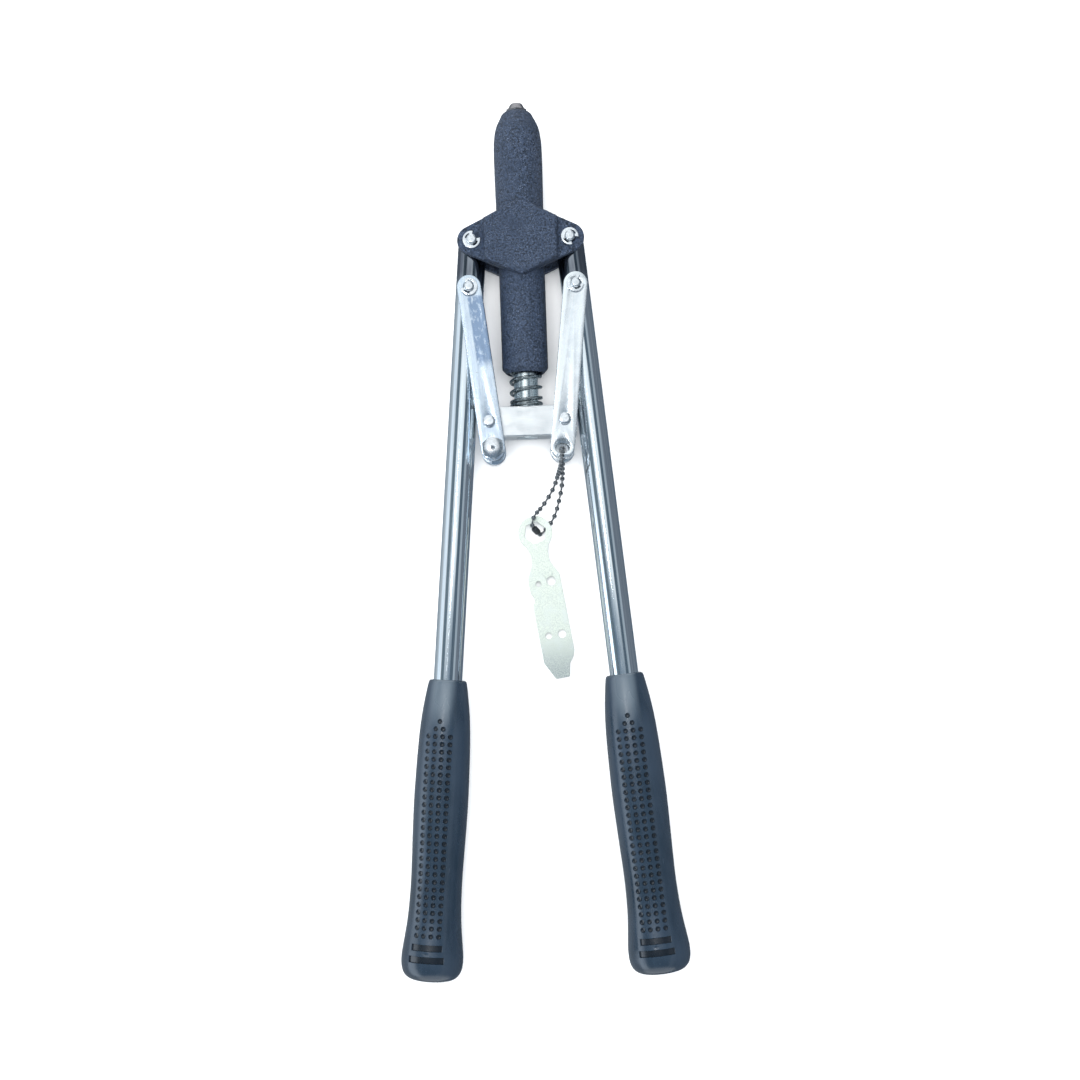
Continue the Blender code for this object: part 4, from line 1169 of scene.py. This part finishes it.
chain_steel = machined("chain_steel", (0.16, 0.165, 0.17), (0.4, 0.41, 0.42), (0.22, 0.36))
chain, chain_line = make_chain(chain_steel)
connector = make_connector(machined("connector_steel", (0.05, 0.055, 0.06), (0.16, 0.165, 0.17),
                                    (0.28, 0.42)))

coat = powder_coat()
rubber = vinyl()
tube_chrome = chrome()
# Painted reflection: the left link's zinc is a darker, bluer copy of the right one's, with a
# ragged darker patch.
left_tones = [(0.66, 0.76, 0.88), (0.82, 0.9, 0.97), (0.74, 0.83, 0.92), (0.3, 0.4, 0.56)]
right_tones = [(0.9, 0.95, 0.98), (0.97, 0.99, 1.0), (0.9, 0.95, 0.98)]
zinc = plated("zinc_plate", right_tones, (0.2, 0.34))
zinc_painted_reflection = plated("zinc_plate_painted_reflection", left_tones, (0.2, 0.34),
                      dark_patch=((-2.0, -1.0), (-42.0, -4.0)))
bar_tones = [(0.93, 0.95, 0.95), (0.99, 0.99, 0.98), (0.88, 0.91, 0.92)]
bar_zinc = plated("zinc_bar", bar_tones, (0.3, 0.45), brush=(14.0, 1, 1), cad=True)
bright = machined("bright_zinc", (0.74, 0.77, 0.8), (0.93, 0.95, 0.97), (0.16, 0.28), (1, 1, 1))
steel_tones = ((0.78, 0.86, 0.86), (0.94, 0.99, 0.99), (0.2, 0.3))
steel = machined("steel", *steel_tones)
inner_steel = machined("steel_inside", *steel_tones, cad=True)
spring_steel = machined("spring_steel", (0.26, 0.29, 0.3), (0.46, 0.5, 0.5), (0.22, 0.32),
                        (1, 1, 1))
gunmetal = machined("nosepiece_steel", (0.24, 0.23, 0.24), (0.4, 0.38, 0.38), (0.28, 0.4))
stored_steel = machined("stored_steel", (0.78, 0.8, 0.82), (0.93, 0.94, 0.95), (0.2, 0.32))

make_head(coat)
make_sleeve(coat)
for side, name in SIDES:
    ear = Matrix.Translation((side * EAR_X, EAR_Y, MID_Z))
    make_pin(f"{name}_ear_axle", "head", PLATE_OUTER, ear, bright, f"{name}_ear_pin")
    make_clip(f"{name}_ear_e_clip", "head", PLATE_OUTER, 45 if side < 0 else -40, ear, bright,
              f"{name}_ear_clip")
shank_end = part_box("mounted_nosepiece")[0].y - EAR_Y
seat = Matrix.Translation((0, EAR_Y + SLEEVE_FRONT + GAP, MID_Z))
make_nosepiece("nosepiece_in_use", "head", "mounted_nosepiece", 1.6 * MM,
               DOME_IN_USE, SLEEVE_FRONT + GAP - shank_end, seat, gunmetal)

make_rod(steel)
make_springs(spring_steel)

for side, name in SIDES:
    place, link_pin = pivot_place(f"{name}_ear_pin", f"{name}_link_pin")
    make_tube(name, place, link_pin, tube_chrome)
    make_grip(name, place, -8.5 + 1.5 * side, rubber)
    store = make_links(side, name, zinc if side > 0 else zinc_painted_reflection, bright)
    spares = ((1, "spare_nosepiece_small", 0.8), (-1, "spare_nosepiece_medium", 1.3))
    if side > 0:
        spares = ((-1, "spare_nosepiece_large", 1.9),)
    for sign, node, bore in spares:
        turn = Matrix.Rotation(math.radians(90 * sign), 4, "X")
        seat = store @ Matrix.Translation((0, 0, sign * (LINK_OUTER + GAP))) @ turn
        make_nosepiece(f"{node}_turned", f"{name}_link", node, bore * MM, DOME_STORED,
                       STORED_SHANK, seat, stored_steel)

cad_finishes = {"crossbar": bar_zinc, "nozzle_spanner": tumbled()}
for node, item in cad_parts.items():
    if item.hide_render:
        continue
    item.data.materials.clear()
    item.data.materials.append(cad_finishes.get(node, inner_steel))
for node, width in (("nozzle_spanner", 0.25), ("crossbar", 0.15)):
    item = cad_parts[node]
    joined = item.modifiers.new("joined", "WELD")
    joined.merge_threshold = 1e-6
    rounded = item.modifiers.new("rounded", "BEVEL")
    rounded.width = width * MM
    rounded.segments = 2
    rounded.limit_method = "ANGLE"
    rounded.angle_limit = math.radians(50)

make_floor()
make_surround()
make_world((0.9, 0.95, 1.0), 1.25)
make_light("key", (-0.9, 0.3, 1.1), (0, 0, 0), (0.9, 0.9), 10)
make_light("fill", (0.0, 0.15, 1.5), (0, 0, 0), (1.0, 1.0), 24)
make_light("glint", (-0.25, 0.1, 1.2), (0, 0, 0), (0.1, 0.1), 0.6, reflected=True)
bpy.context.scene.view_settings.view_transform = "Standard"
